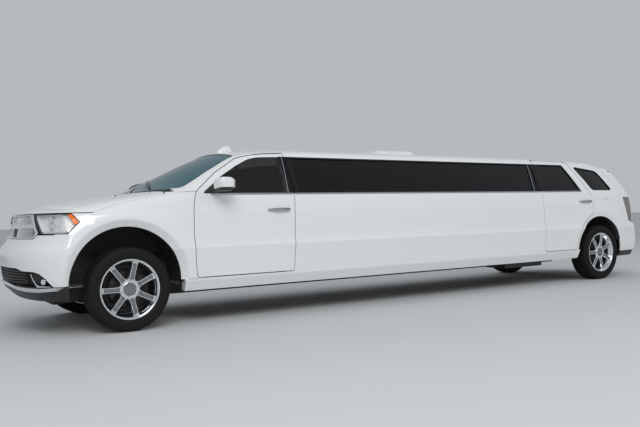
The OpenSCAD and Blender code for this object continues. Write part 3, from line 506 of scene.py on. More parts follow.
def block(low, high):
    return prism([(low[0], low[1]), (high[0], low[1]), (high[0], high[1]), (low[0], high[1])], "z", low[2],
                 high[2])


# Shells of the body: side, top and end thickness.
THIN, BUMPER, WALL = (.022, .022, .030), (.022, .022, .034), (.075, .045, .060)


def shell(inset):
    return grid_mesh("shell", SKIN.grid, body_grid(COARSE_X, COARSE, inset))


def flared_shell(outer, inset):
    """Wall that keeps its thickness through the flares of the front arches."""
    skin = SKIN.grid if outer == 0 else add_flares(body_grid(FINE_X, FINE, (outer,) * 3))
    return grid_mesh("shell", skin, add_flares(body_grid(FINE_X, FINE, inset)))


def lining(outer, inset):
    """Inner part of a wall, from a depth below the skin to the wall's full thickness."""
    return grid_mesh("lining", body_grid(COARSE_X, COARSE, (outer,) * 3), body_grid(COARSE_X, COARSE, inset))


def pane(outer, inner):
    return grid_mesh("pane", body_grid(PANE_X, PANE, outer), body_grid(PANE_X, PANE, inner))


PANE = dict(low=5, step=2, high=6, belt=5, glass=10, rail=9, roof=12, columns=40)
PANE_X = spread((TAIL, RA, .04), (RA, FA - 1.9, .15), (FA - 1.9, FA, .03), (FA, NOSE, .06))


# Materials: a shader whose colour, gloss and surface vary by noise at the scale of the real finish.
def material(name, colour, rough, metal=0.0, vary=0.04, grain=40.0, rough_vary=0.06, bump=0.0,
             bump_scale=400.0, **sockets):
    mat = bpy.data.materials.new(name)
    mat.use_nodes = True
    nodes, links = mat.node_tree.nodes, mat.node_tree.links
    shader = nodes["Principled BSDF"]
    place = nodes.new("ShaderNodeTexCoord").outputs["Object"]

    def noise(scale, detail=3.0):
        node = nodes.new("ShaderNodeTexNoise")
        node.inputs["Scale"].default_value = scale
        node.inputs["Detail"].default_value = detail
        links.new(place, node.inputs["Vector"])
        return node.outputs["Fac"]

    tone = nodes.new("ShaderNodeMix")
    tone.data_type = "RGBA"
    tone.inputs["A"].default_value = (*[min(1, c * (1 - vary)) for c in colour], 1)
    tone.inputs["B"].default_value = (*[min(1, c * (1 + vary)) for c in colour], 1)
    links.new(noise(grain), tone.inputs["Factor"])
    links.new(tone.outputs["Result"], shader.inputs["Base Color"])
    gloss = nodes.new("ShaderNodeMapRange")
    gloss.inputs["To Min"].default_value = max(0, rough * (1 - rough_vary))
    gloss.inputs["To Max"].default_value = min(1, rough * (1 + rough_vary))
    links.new(noise(grain * 3), gloss.inputs["Value"])
    links.new(gloss.outputs["Result"], shader.inputs["Roughness"])
    if bump:
        relief = nodes.new("ShaderNodeBump")
        relief.inputs["Strength"].default_value = bump
        relief.inputs["Distance"].default_value = 0.001
        links.new(noise(bump_scale), relief.inputs["Height"])
        links.new(relief.outputs["Normal"], shader.inputs["Normal"])
    shader.inputs["Metallic"].default_value = metal
    for socket, value in sockets.items():
        shader.inputs[socket.replace("_", " ")].default_value = value
    return mat


PAINT = material("white_paint", (.80, .805, .80), .22, vary=.008, grain=3, bump=.02, bump_scale=900,
                 Coat_Weight=1.0, Coat_Roughness=.03)
CHROME = material("chrome", (.78, .79, .80), .06, metal=1, vary=.02, grain=12)
# On the wheels this darker metal fills the sunk spoke channels as a painted dark reflection.
DARK_CHROME = material("satin_metal", (.27, .275, .28), .18, metal=1, vary=.04, grain=30)
BRIGHT = material("bright_trim", (.50, .51, .53), .14, metal=1, vary=.03, grain=20)
BLACK = material("black_plastic", (.018, .018, .019), .45, vary=.15, grain=90, bump=.15, bump_scale=1500)
GLOSS_BLACK = material("gloss_black", (.006, .006, .007), .08, vary=.1, grain=20, Specular_IOR_Level=.25)
RUBBER = material("rubber", (.010, .010, .010), .72, vary=.2, grain=120, bump=.25, bump_scale=900,
                  Specular_IOR_Level=.22)
SEAL = material("seal_rubber", (.012, .012, .012), .6, vary=.1, grain=80)
UNDER = material("under_coating", (.022, .022, .023), .7, vary=.3, grain=25, bump=.3, bump_scale=300)
IRON = material("cast_iron", (.16, .155, .15), .6, metal=.7, vary=.2, grain=35, bump=.3, bump_scale=700)
STEEL = material("bare_steel", (.45, .44, .42), .35, metal=1, vary=.12, grain=30, bump=.1, bump_scale=500)
DISC = material("brake_disc", (.07, .07, .07), .36, metal=1, vary=.08, grain=60)
LEATHER = material("black_leather", (.030, .029, .028), .42, vary=.12, grain=50, bump=.35, bump_scale=900,
                   Sheen_Weight=.1)
TRIM = material("soft_trim", (.05, .05, .052), .62, vary=.1, grain=60, bump=.3, bump_scale=1400)
CARPET = material("carpet", (.035, .035, .037), .95, vary=.4, grain=600, bump=.8, bump_scale=1600,
                  Sheen_Weight=.25)
HEADLINER = material("headliner", (.10, .10, .105), .9, vary=.1, grain=500, bump=.4, bump_scale=2000,
                     Sheen_Weight=.15)
AMBER = material("amber_lens", (.90, .17, .004), .16, vary=.12, grain=60, Specular_IOR_Level=.3)
SMOKED = material("smoked_lens", (.16, .13, .13), .12, vary=.1, grain=50, Coat_Weight=.6)
RED = material("red_lens", (.34, .006, .008), .14, vary=.15, grain=50, Specular_IOR_Level=.35)
WHITE_LENS = material("white_lens", (.80, .80, .79), .12, vary=.05, grain=60, Coat_Weight=.6)
LAMP_BOWL = material("lamp_bowl", (.86, .87, .88), .10, metal=1, vary=.03, grain=40)


def glass(name, colour, alpha, rough=.02):
    """Tinted glass that shows what is behind it. Noise deepens the tint a little, as film does."""
    return material(name, colour, rough, vary=.06, grain=2, rough_vary=.1, Alpha=alpha,
                    Specular_IOR_Level=.25)


# The windshield's teal is partly the glass's own tint and partly a painted reflection of blue sky.
SCREEN_GLASS = glass("screen_glass", (.035, .135, .165), .74)
DOOR_GLASS = glass("door_glass", (.003, .013, .012), .88)
DARK_GLASS = glass("dark_glass", (.004, .005, .006), .93)
LENS = glass("clear_lens", (.85, .87, .88), .08)


def finish_mesh(mesh, mat):
    mesh.materials.clear()
    mesh.materials.append(mat)
    return mesh


# Body panels. Paint reaches this deep at the edges of one thick wall, and of a thin outer sheet.
WALL_PAINT, SHEET_PAINT = .0125, .0084


def add_panel(node, body, mesh, mat=None, inner=None, skin=WALL_PAINT):
    """A panel cut from the body that stands for its CAD node. Deeper faces take the inner finish."""
    finish_mesh(shade_by_skin(mesh), mat or PAINT)
    if inner:
        mesh.materials.append(inner)
        deep = [int(SKIN.tree.find_nearest(p.center)[3] > skin) for p in mesh.polygons]
        mesh.polygons.foreach_set("material_index", deep)
    mesh.name = node + "_panel"
    obj = new_object(node + "_panel", mesh)
    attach(obj, body)
    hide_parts(node)
    return obj


def pair(mesh):
    return joined("pair", [mesh, mirrored_mesh(mesh)])


HINGE_F, HINGE_R = (JOINT[n]["pos_m"] for n in ("door_fl_hinge", "door_rl_hinge"))
HINGE_D = .095


def hinge_room(hinge):
    ring = (hinge[0], hinge[1], math.hypot(HINGE_D, .034) + .008)
    return above(circle(ring, steps=48), .43, 1.26)


def inside(depth, low, high):
    """The inside of the body past a depth, within a box."""
    solid = grid_mesh("inside", body_grid(COARSE_X, COARSE, (depth, depth, depth)))
    return new_object("tool", carve(solid, keep=[block(low, high)]))


def make_fenders():
    zone = [(FA - .7, .4383), (FA - .7, 1.258), (FA - .48, 1.262), (FA + .62, 1.262), (FA + .62, .4383)]
    layers = []
    for blank, room in ((flared_shell(0, (.008,) * 3), []), (flared_shell(.0078, THIN),
                                                             [hinge_room(HINGE_F)])):
        layers.append(carve(blank, [left(zone, .797)],
                            [left(circle(ARCH_F)), left(grown(DOOR_F, GAP)), left(grown(LAMP_SIDE, SEAM)),
                             left(grown(BUMPER_SIDE, SEAM)), above(grown(HOOD, GAP), 1.076),
                             above(grown(HOOD, GAP) - (.010, 0), 1.2), above(grown(SCREEN, SEAM))] + room))
    add_panel("fenders", "chassis", pair(joined("fender", layers)), inner=UNDER, skin=SHEET_PAINT)


def make_bumpers():
    box = (FA + .38, -1.2)
    mesh = carve(flared_shell(0, BUMPER), [across(BUMPER_SIDE), block((*box, .4464), (NOSE + .1, 1.2, 1.2))],
                 [across(circle(ARCH_F)), front(grown(GRILLE, SEAM)), front(grown(LAMP, SEAM)),
                  front(grown([(-y, z) for y, z in LAMP], SEAM)), front(MOUTH)])
    add_panel("front_bumper", "chassis", mesh, inner=BLACK)
    mesh = carve(lining(.006, BUMPER), [block((*box, .310), (NOSE + .1, 1.2, .4464))],
                 [across(circle(ARCH_F))])
    add_panel("front_valance", "chassis", mesh, BLACK)
    mesh = carve(lining(-.012, BUMPER), [front(LIP)])
    add_panel("bumper_strip", "chassis", mesh, CHROME)
    mesh = carve(shell(BUMPER), [across(REAR_SIDE)], [across(circle(ARCH_R))])
    add_panel("rear_bumper", "chassis", mesh, inner=BLACK)


def make_hood():
    mesh = carve(shell(THIN), [above(HOOD, 1.083)])
    add_panel("hood", "hood", mesh)


def make_doors():
    for name, outline, window, hinge, pane_mat in (("f", DOOR_F, GLASS_F, HINGE_F, DOOR_GLASS),
                                                   ("r", DOOR_R, GLASS_R, HINGE_R, DARK_GLASS)):
        flange = inside(.014, (hinge[0] - .018, .3, .4), (hinge[0] + .182, 1.2, 1.24))
        skin = carve(shell((.008,) * 3), [left(outline, .64), left(roof_line(GAP + .003))], [left(window)])
        inner = carve(lining(.0078, WALL), [left(grown(outline, -REBATE), .64),
                                            left(roof_line(GAP + .003 + REBATE))], [left(window), flange])
        door = joined("door", [skin, inner])
        sail = [block((FA - .8763, .3, 1.2), (FA, 1.2, 1.4))] if name == "f" else []
        glass_mesh = carve(pane((.008,) * 3, (.014,) * 3), [left(grown(window, -SEAM))], sail)
        for side, turn in (("l", lambda m: m.copy()), ("r", mirrored_mesh)):
            body = f"door_{name}{side}"
            add_panel(body, body, turn(door), inner=TRIM, skin=SHEET_PAINT)
            add_panel(f"glass_{name}{side}", body, turn(glass_mesh), pane_mat)


def make_sides():
    zone = [(TAIL + .33, .4383), (FA - 1.6, .4383), (FA - 1.6, 1.9), (TAIL + .33, 1.9)]
    windows = (GLASS_LONG, GLASS_POST, GLASS_Q)
    flange = inside(.014, (HINGE_R[0] - .02, .3, .43), (HINGE_R[0] + .13, 1.2, 1.26))
    layers = []
    for blank, room in ((shell((.008,) * 3), []), (lining(.0078, WALL), [hinge_room(HINGE_R), flange])):
        layers.append(carve(blank, [left(zone), left(roof_line(SEAM))],
                            [left(grown(DOOR_F, GAP)), left(grown(DOOR_R, GAP)), left(grown(REAR_SIDE, SEAM)),
                             left(grown(TAIL_SIDE, SEAM)), left(circle(ARCH_R)), rear(grown(GATE, GAP), .53)]
                            + [left(w) for w in windows] + room))
    add_panel("body_sides", "chassis", pair(joined("side", layers)), inner=TRIM, skin=SHEET_PAINT)
    panes = [carve(pane((.008,) * 3, (.014,) * 3), [left(grown(w, -SEAM))]) for w in windows]
    add_panel("side_glass", "chassis", pair(joined("panes", panes)), DARK_GLASS)


def make_roof():
    doorway = new_object("tool", carve(across(grown(DOOR_F, GAP)).data, [across(roof_line(.003))]))
    sides = new_object("tool", carve(across(roof_line(0)).data,
                                     [block((TAIL - .1, -1.3, 0), (FA - 1.4, 1.3, 2))]))
    mesh = carve(shell(WALL), [block((TAIL + .3, -1.2, 1.2624), (FA - .47, 1.2, 1.95))],
                 [block((TAIL, -1.2, 1.0), (GATE_X, 1.2, GATE_Z + .005)), sides, doorway,
                  above(SCREEN, 1.18)])
    add_panel("roof", "chassis", mesh, inner=HEADLINER)
    mesh = carve(pane((.006,) * 3, (.012, .014, .012)), [above(grown(SCREEN, -SEAM), 1.18)])
    add_panel("windshield", "chassis", mesh, SCREEN_GLASS)
    mesh = carve(grid_mesh("cowl", body_grid(COARSE_X, COARSE, (.02, .0143, .014)),
                           body_grid(COARSE_X, COARSE, (.034, .036, .028))),
                 [block((FA - .47, -.7965, 1.1), (FA - .06, .7965, 1.5))],
                 [above(grown(HOOD, .04)), above(grown(SCREEN, -.03)), across(grown(DOOR_F, GAP))])
    add_panel("cowl", "chassis", mesh, BLACK)


def make_tail():
    room = (TAIL - .05, -1.2, .806), (GATE_X - GAP, 1.2, GATE_Z - .005)
    skin = carve(shell((.014,) * 3), [block(*room), rear(GATE)], [rear(GATE_GLASS)])
    narrow = [(y - math.copysign(REBATE, y), z) for y, z in GATE]
    inner = carve(lining(.0138, WALL), [block(*room), rear(narrow)], [rear(GATE_GLASS)])
    add_panel("liftgate", "liftgate", joined("gate", [skin, inner]), inner=TRIM)
    mesh = carve(pane((.008, 0, .008), (.014, 0, .018)), [rear(grown(GATE_GLASS, -SEAM))])
    add_panel("liftgate_glass", "liftgate", mesh, DARK_GLASS)
    mesh = carve(shell((.06, .06, .06)), [left(TAIL_SIDE)], [rear(grown(GATE, GAP))])
    add_panel("tail_lamps", "chassis", pair(mesh), SMOKED)


for make in (make_fenders, make_bumpers, make_hood, make_doors, make_sides, make_roof, make_tail):
    make()


# Wheels: built about the origin with the axle along y and the outer face toward +y, then set in place.
def lathe(profile, steps, phase=0.0):
    """Ring of a profile of (radius, y) points about the y axis: points and quads."""
    p = np.asarray(profile, float)
    t = np.linspace(0, 2 * math.pi, steps, endpoint=False) + phase
    ring = np.stack([np.outer(np.cos(t), p[:, 0]), np.tile(p[:, 1], (steps, 1)),
                     np.outer(np.sin(t), p[:, 0])], -1)
    n = len(p)
    faces = [(i * n + j, ((i + 1) % steps) * n + j, ((i + 1) % steps) * n + j + 1, i * n + j + 1)
             for i in range(steps) for j in range(n - 1)]
    return ring.reshape(-1, 3), faces


def merged(parts):
    """Several (points, faces) as one."""
    points, faces, base = [], [], 0
    for p, f in parts:
        points.append(np.asarray(p, float))
        faces.extend([tuple(base + i for i in face) for face in f])
        base += len(p)
    return np.concatenate(points), faces


def smooth_mesh(name, part, mat, angle=35, recalc=True):
    """Mesh of (points, faces), shaded smooth but for its edges sharper than the angle."""
    mesh = tidy_mesh(make_mesh(name, *part), merge=1e-6, recalc=recalc)
    mesh.shade_smooth()
    mesh.set_sharp_from_angle(angle=math.radians(angle))
    return finish_mesh(mesh, mat)


def add_piece(name, body, mesh, *nodes):
    mesh.name = name
    obj = new_object(name, mesh)
    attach(obj, body)
    if nodes:
        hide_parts(*nodes)
    return obj


def turned(part, angle):
    """Part turned about the y axis, from x toward z."""
    c, s = math.cos(angle), math.sin(angle)
    p = np.asarray(part[0], float)
    return np.column_stack([p[:, 0] * c - p[:, 2] * s, p[:, 1], p[:, 0] * s + p[:, 2] * c]), part[1]


def moved(part, shift):
    return np.asarray(part[0], float) + np.asarray(shift, float), part[1]


def loft(sections, closed=True, caps=True):
    """Skin through sections of equal point count."""
    s = np.asarray(sections, float)
    k, n = s.shape[:2]
    last = n if closed else n - 1
    faces = [(i * n + j, i * n + (j + 1) % n, (i + 1) * n + (j + 1) % n, (i + 1) * n + j)
             for i in range(k - 1) for j in range(last)]
    if caps:
        faces += [tuple(range(n))[::-1], tuple((k - 1) * n + j for j in range(n))]
    return s.reshape(-1, 3), faces


RIM_R = TYRE_R - .1125
SPOKES = 7
PITCHES = 68


def tyre_part():
    """Tyre: carcass turned from its profile, with a tread of grooves and blocks in equal pitches."""
    w, r = TYRE_W / 2, TYRE_R
    side = [(RIM_R - .012, .094), (RIM_R + .004, .1005), (RIM_R + .006, .1155), (RIM_R + .016, .1215),
            (RIM_R + .022, w - .003), (RIM_R + .027, w - .0035), (RIM_R + .033, w - .0005), (RIM_R + .046, w),
            (RIM_R + .048, w - .0015), (RIM_R + .062, w - .0015), (RIM_R + .064, w), (r - .040, w - .002),
            (r - .034, w - .005), (r - .030, w - .004), (r - .020, w - .0095), (r - .0135, w - .019),
            (r - .0105, w - .035)]
    profile = [(a, -b) for a, b in side] + [(r - .0095, 0)] + side[::-1]
    parts = [lathe(profile, PITCHES * 3)]
    cell = 2 * math.pi / PITCHES

    def crown(v):
        """Radius of the tread's face at v across the tyre."""
        d = max(0, abs(v) - (w - .050))
        return r - .0006 - d * d / .115

    def tread_block(v0, v1, u0, u1, skew):
        vs = np.linspace(v0, v1, 4 if abs(v1 - v0) > .03 else 2)
        rows = []
        for grow, depth in ((.0006, .0130), (0, .0012), (-.0010, 0)):
            row = []
            ends = [(v, u) for v in vs for u in (u0,)] + [(v, u) for v in vs[::-1] for u in (u1,)]
            for v, u in ends:
                t = (u + skew * (v - v0)) * cell
                t += grow / r * (-1 if u == u0 else 1)
                vv = v + grow * (-1 if v == min(v0, v1) else 1 if v == max(v0, v1) else 0)
                rad = crown(vv) - depth
                row.append((rad * math.cos(t), vv, rad * math.sin(t)))
            rows.append(row)
        points = np.concatenate(rows)
        n = len(rows[0])
        faces = [(i * n + j, i * n + (j + 1) % n, (i + 1) * n + (j + 1) % n, (i + 1) * n + j)
                 for i in range(2) for j in range(n)]
        m = len(vs)
        faces += [(2 * n + j, 2 * n + j + 1, 2 * n + n - 2 - j, 2 * n + n - 1 - j) for j in range(m - 1)]
        return points, faces

    g = .0045
    ribs = [(.0255 + g, .064 - g, .1, .90, 9), (.064 + g, w - .0125, .05, .82, 3)]
    one = [tread_block(-.0185, .0185, 0, .94, 5)]
    for v0, v1, u0, u1, skew in ribs:
        one.append(tread_block(v0, v1, u0, u1, skew))
        one.append(tread_block(-v0, -v1, u0 + .45, u1 + .45, skew))
    unit = merged(one)
    parts += [turned(unit, i * cell) for i in range(PITCHES)]
    return merged(parts)


def spoke_face(r):
    """Height of a spoke's ribs at radius r."""
    return .0905 + .0085 * (r - .05) / (RIM_R - .07) + .004 * ease((r - .21) / .04)


def spoke_part():
    """One spoke along +x: two raised ribs beside a sunk channel, dished toward the hub."""
    sections = []
    for r in (.050, .070, .088, .105, .13, .16, .19, .215, RIM_R - .034, RIM_R - .026, RIM_R - .019):
        u = (r - .05) / (RIM_R - .07)
        half = .0238 + .019 * ease((.112 - r) / .045) + .004 * ease((r - .215) / .03)
        face = spoke_face(r)
        sink = .0085 * float(ease((r - .082) / .02)) * float(ease((RIM_R - .030 - r) / .012))
        rib = .0075
        back = face - .030 - .010 * (1 - u)
        across = [(-half - .003, back), (-half - .0015, face - .010), (-half, face - .002),
                  (-half + .0015, face), (-half + rib - .001, face), (-half + rib + .0025, face - sink),
                  (0, face - sink - .0006), (half - rib - .0025, face - sink), (half - rib + .001, face),
                  (half - .0015, face), (half, face - .002), (half + .0015, face - .010), (half + .003, back)]
        sections.append([(r, y, z) for z, y in across])
    return loft(sections)


def bolt_part(r, high, sides=6):
    return lathe([(0, high), (r * .8, high), (r, high * .75), (r, 0), (r * 1.5, -.001)], sides)


def rim_part():
    """Chrome wheel: drop-centre barrel, seven spokes, hub with a flat cap."""
    f = RIM_R
    barrel = [(f - .020, .0905), (f - .0185, .104), (f - .011, .1125), (f - .004, .1165), (f + .002, .1165),
              (f + .0035, .113), (f + .002, .108), (f - .004, .103), (f - .012, .099), (f - .016, .090),
              (f - .032, .055), (f - .032, -.02), (f - .017, -.07), (f - .016, -.096), (f - .004, -.100),
              (f + .002, -.108), (f + .002, -.115), (f - .006, -.1155), (f - .022, -.106), (f - .025, -.07),
              (f - .041, -.02), (f - .041, .05), (f - .027, .083), (f - .020, .0905)]
    parts = [lathe(barrel, 126)]
    spoke = spoke_part()
    parts += [turned(spoke, i * 2 * math.pi / SPOKES) for i in range(SPOKES)]
    hub = [(.0325, -.03), (.082, -.03), (.088, .03), (.092, .050), (.092, .0835), (.090, .0855),
           (.066, .0855), (.064, .0860), (.0635, .0940), (.060, .0962), (.045, .0968), (0, .097)]
    parts.append(lathe(hub, 84))
    return merged(parts)


def lugs_part():
    """Seven bolt heads in the ring between the cap and the spokes."""
    bolt = bolt_part(.0075, .0125)
    out = []
    for i in range(SPOKES):
        t = (i + .5) * 2 * math.pi / SPOKES
        out.append(moved(bolt, (.0775 * math.cos(t), .0850, .0775 * math.sin(t))))
    return merged(out)


def disc_part(r):
    """Vented brake disc with its bell."""
    return lathe([(.060, .010), (.078, .012), (.080, -.006), (r - .062, -.008), (r - .004, -.008),
                  (r, -.011), (r, -.015), (r - .010, -.016), (r - .010, -.022), (r, -.023), (r, -.028),
                  (r - .004, -.031), (.078, -.031), (.060, -.028), (.060, .010)], 72)


def caliper_part(r, front_turn):
    """Brake caliper bent round the disc's edge."""
    sections = []
    for a in np.radians(np.linspace(-30, 30, 9)):
        end = abs(math.degrees(a)) > 29
        grow = .006 if end else 0
        loop = [(r + .012 - grow, .020 - grow), (r - .030, .024 - grow), (r - .064 + grow, .020 - grow),
                (r - .070 + grow, .010), (r - .070 + grow, -.004), (r - .012, -.004), (r - .012, -.035),
                (r - .070 + grow, -.035), (r - .070 + grow, -.050), (r - .060, -.056 + grow),
                (r - .004, -.056 + grow), (r + .012 - grow, -.048 + grow)]
        sections.append([(q * math.cos(a), y, q * math.sin(a)) for q, y in loop])
    return turned(loft(sections), front_turn)


def shade_shield_part():
    """Dished plate behind the brake disc: partly a dust shield, and partly painted shade that closes the view
    through the spokes to the floor under the car.
    """
    return lathe([(.050, -.050), (.160, -.052), (.214, -.046), (.226, -.036), (.229, -.037), (.218, -.050),
                  (.160, -.056), (.050, -.054), (.050, -.050)], 72)


def make_wheels():
    # The black plate behind each disc is partly a dust shield and partly painted shade. It darkens the view
    # through the spokes.
    shield = smooth_mesh("shield", shade_shield_part(), BLACK, 30)
    tyre = smooth_mesh("tyre", tyre_part(), RUBBER, 30)
    rim = smooth_mesh("rim", rim_part(), CHROME, 40)
    # The sunk spoke channels and the hub's flat cap take the darker metal. This is a painted dark reflection,
    # standing in for the dark ground that the chrome there would mirror.
    rim.materials.append(DARK_CHROME)
    for poly in rim.polygons:
        r = math.hypot(poly.center.x, poly.center.z)
        painted_dark_reflection = .088 < r < RIM_R - .028 and poly.center.y < spoke_face(r) - .003 and poly.normal.y > .7
        poly.material_index = int(painted_dark_reflection or (r < .060 and poly.normal.y > .9))
    lugs = smooth_mesh("lugs", lugs_part(), LAMP_BOWL, 30)
    disc = smooth_mesh("disc", disc_part(.165), DISC, 30)
    for corner in ("fl", "fr", "rl", "rr"):
        x, y, z = JOINT["spin_" + corner]["pos_m"]
        y = math.copysign(WHEEL_Y, y)
        wheel = "wheel_" + corner
        holder = {"fl": "knuckle_l", "fr": "knuckle_r"}.get(corner, "chassis")
        front = corner[0] == "f"
        caliper = smooth_mesh("caliper", caliper_part(.165, math.radians(165 if front else 20)), UNDER, 30)
        for name, mesh, body, nodes in (("tyre", tyre, wheel, ["tyre_" + corner]),
                                        ("rim", rim, wheel, ["rim_" + corner]), ("lugs", lugs, wheel, []),
                                        ("disc", disc, wheel, []), ("caliper", caliper, holder, []),
                                        ("shield", shield, holder, [])):
            m = mesh.copy() if y > 0 else mirrored_mesh(mesh)
            m.transform(Matrix.Translation((x, y, z)))
            add_piece(f"{name}_{corner}_piece", body, m, *nodes)


make_wheels()


# Front end: grille, headlamps, lower opening and fog lamps.
def on_side(x, z):
    return SKIN.tree.ray_cast(Vector((x, 2, z)), Vector((0, -1, 0)))[0].y


def on_front(y, z):
    return SKIN.tree.ray_cast(Vector((NOSE + 1, y, z)), Vector((-1, 0, 0)))[0].x


def on_top(x, y):
    return SKIN.tree.ray_cast(Vector((x, y, 3)), Vector((0, 0, -1)))[0].z


def cut_layer(outer, inner, keep, cut=()):
    """Layer of the body between two depths, cut by tools and shaded as the body is."""
    return shade_by_skin(carve(lining(outer, (inner,) * 3), keep, cut))


def tube(path, r, sides=6):
    """Round bar along a path of points."""
    p = np.asarray(path, float)
    along = np.gradient(p, axis=0)
    along /= np.linalg.norm(along, axis=1, keepdims=True)
    guide = np.array([0, 0, 1.0]) if abs(along[0, 2]) < .8 else np.array([0, 1.0, 0])
    u = np.cross(along, guide)
    u /= np.linalg.norm(u, axis=1, keepdims=True)
    v = np.cross(along, u)
    t = np.linspace(0, 2 * math.pi, sides, endpoint=False)
    r = np.broadcast_to(r, len(p))[:, None, None]
    ring = p[:, None] + r * (u[:, None] * np.cos(t)[:, None] + v[:, None] * np.sin(t)[:, None])
    return loft(ring)


def box_part(low, high):
    (a, b, c), (d, e, f) = low, high
    points = [(x, y, z) for x in (a, d) for y in (b, e) for z in (c, f)]
    return np.array(points), [(0, 1, 3, 2), (4, 6, 7, 5), (0, 4, 5, 1), (2, 3, 7, 6), (0, 2, 6, 4),
                              (1, 5, 7, 3)]


def bevelled(mesh, width, segments=3):
    """Mesh with its edges rounded over."""
    bm = bmesh.new()
    bm.from_mesh(mesh)
    sharp = [e for e in bm.edges if e.is_manifold and e.calc_face_angle(0) > .4]
    bmesh.ops.bevel(bm, geom=sharp, offset=width, segments=segments, profile=.6, affect="EDGES",
                    clamp_overlap=True)
    bm.to_mesh(mesh)
    bm.free()
    mesh.shade_smooth()
    mesh.set_sharp_from_angle(angle=math.radians(40))
    return mesh


def block_mesh(name, low, high, mat, width=.003):
    return bevelled(smooth_mesh(name, box_part(low, high), mat), width)


def both_sides(parts):
    """The (points, faces) parts with their mirror images across the middle."""
    points, faces = merged(parts)
    return merged([(points, faces), (points * (1, -1, 1), [f[::-1] for f in faces])])


def ring_part(centre, axis, r, thick, depth, steps=32):
    """Round bezel about an axis, with its face toward +axis."""
    profile = [(r - thick, -depth), (r - thick, -.002), (r - thick * .7, 0), (r - thick * .3, 0),
               (r, -.002), (r, -depth), (r - thick, -depth)]
    points, faces = lathe(profile, steps)
    spin = Vector((0, 1, 0)).rotation_difference(Vector(axis)).to_matrix()
    return points @ np.array(spin).T + np.asarray(centre), faces


def disc_dome(centre, axis, r, rise, steps=28):
    """Domed round lens about an axis."""
    profile = [(r * math.sin(a), rise * math.cos(a)) for a in np.linspace(.02, math.pi / 2, 7)] + [(r, -.008)]
    points, faces = lathe(profile, steps)
    spin = Vector((0, 1, 0)).rotation_difference(Vector(axis)).to_matrix()
    return points @ np.array(spin).T + np.asarray(centre), faces


GRILLE_EDGE = knots((.858, .600), (.9, .662), (1.076, .53))


def make_grille():
    rim = cut_layer(-.007, .050, [front(grown(GRILLE, -.004))], [front(GRILLE_IN)])
    add_piece("grille_surround", "chassis", finish_mesh(rim, CHROME), "grille")
    bar = cut_layer(-.004, .045, [front(grown(GRILLE, -.015)), block((FA, -1, .954), (NOSE + .1, 1, .990))])
    post = cut_layer(-.004, .045, [front(grown(GRILLE, -.015)),
                                   block((FA, -.030, .8), (NOSE + .1, .030, 1.1))],
                                   [block((FA, -.012, .876), (NOSE + .1, .012, .944)),
                                    block((FA, -.012, 1.0), (NOSE + .1, .012, 1.05))])
    add_piece("grille_bars", "chassis", finish_mesh(joined("bars", [bar, post]), CHROME))
    back = cut_layer(.040, .046, [front(grown(GRILLE, -.004))])
    edge = cut_layer(.001, .046, [front(GRILLE)], [front(grown(GRILLE, -.005))])
    corner = [(.545, .948), (.628, .948), (.632, .905), (.592, .872), (.565, .872)]
    hub = [(.034, .948), (.115, .948), (.090, .872), (.034, .872)]
    dark = [cut_layer(.010, .024, [front(o)]) for o in (corner, hub)]
    dark = joined("dark", [edge, *dark, *[mirrored_mesh(m) for m in dark]])
    add_piece("grille_edges", "chassis", finish_mesh(dark, BLACK))
    add_piece("grille_backing", "chassis", finish_mesh(back, DARK_CHROME))
    wires = []
    for z in np.arange(.872, 1.060, .0105):
        y = np.linspace(-1, 1, 61) * (float(at(GRILLE_EDGE, z)) - .02)
        wires.append(tube([(on_front(v, z) - .020, v, z) for v in y], .0021, 4))
    for y in np.arange(-.60, .605, .0135):
        top = min(1.060, 1.076 - (abs(y) - .53) * 1.33 - .012)
        z = np.linspace(.872, max(.9, top), 9)
        wires.append(tube([(on_front(y, v) - .0195, y, v) for v in z], .0021, 4))
    add_piece("grille_mesh", "chassis", smooth_mesh("grille_mesh", merged(wires), LAMP_BOWL))


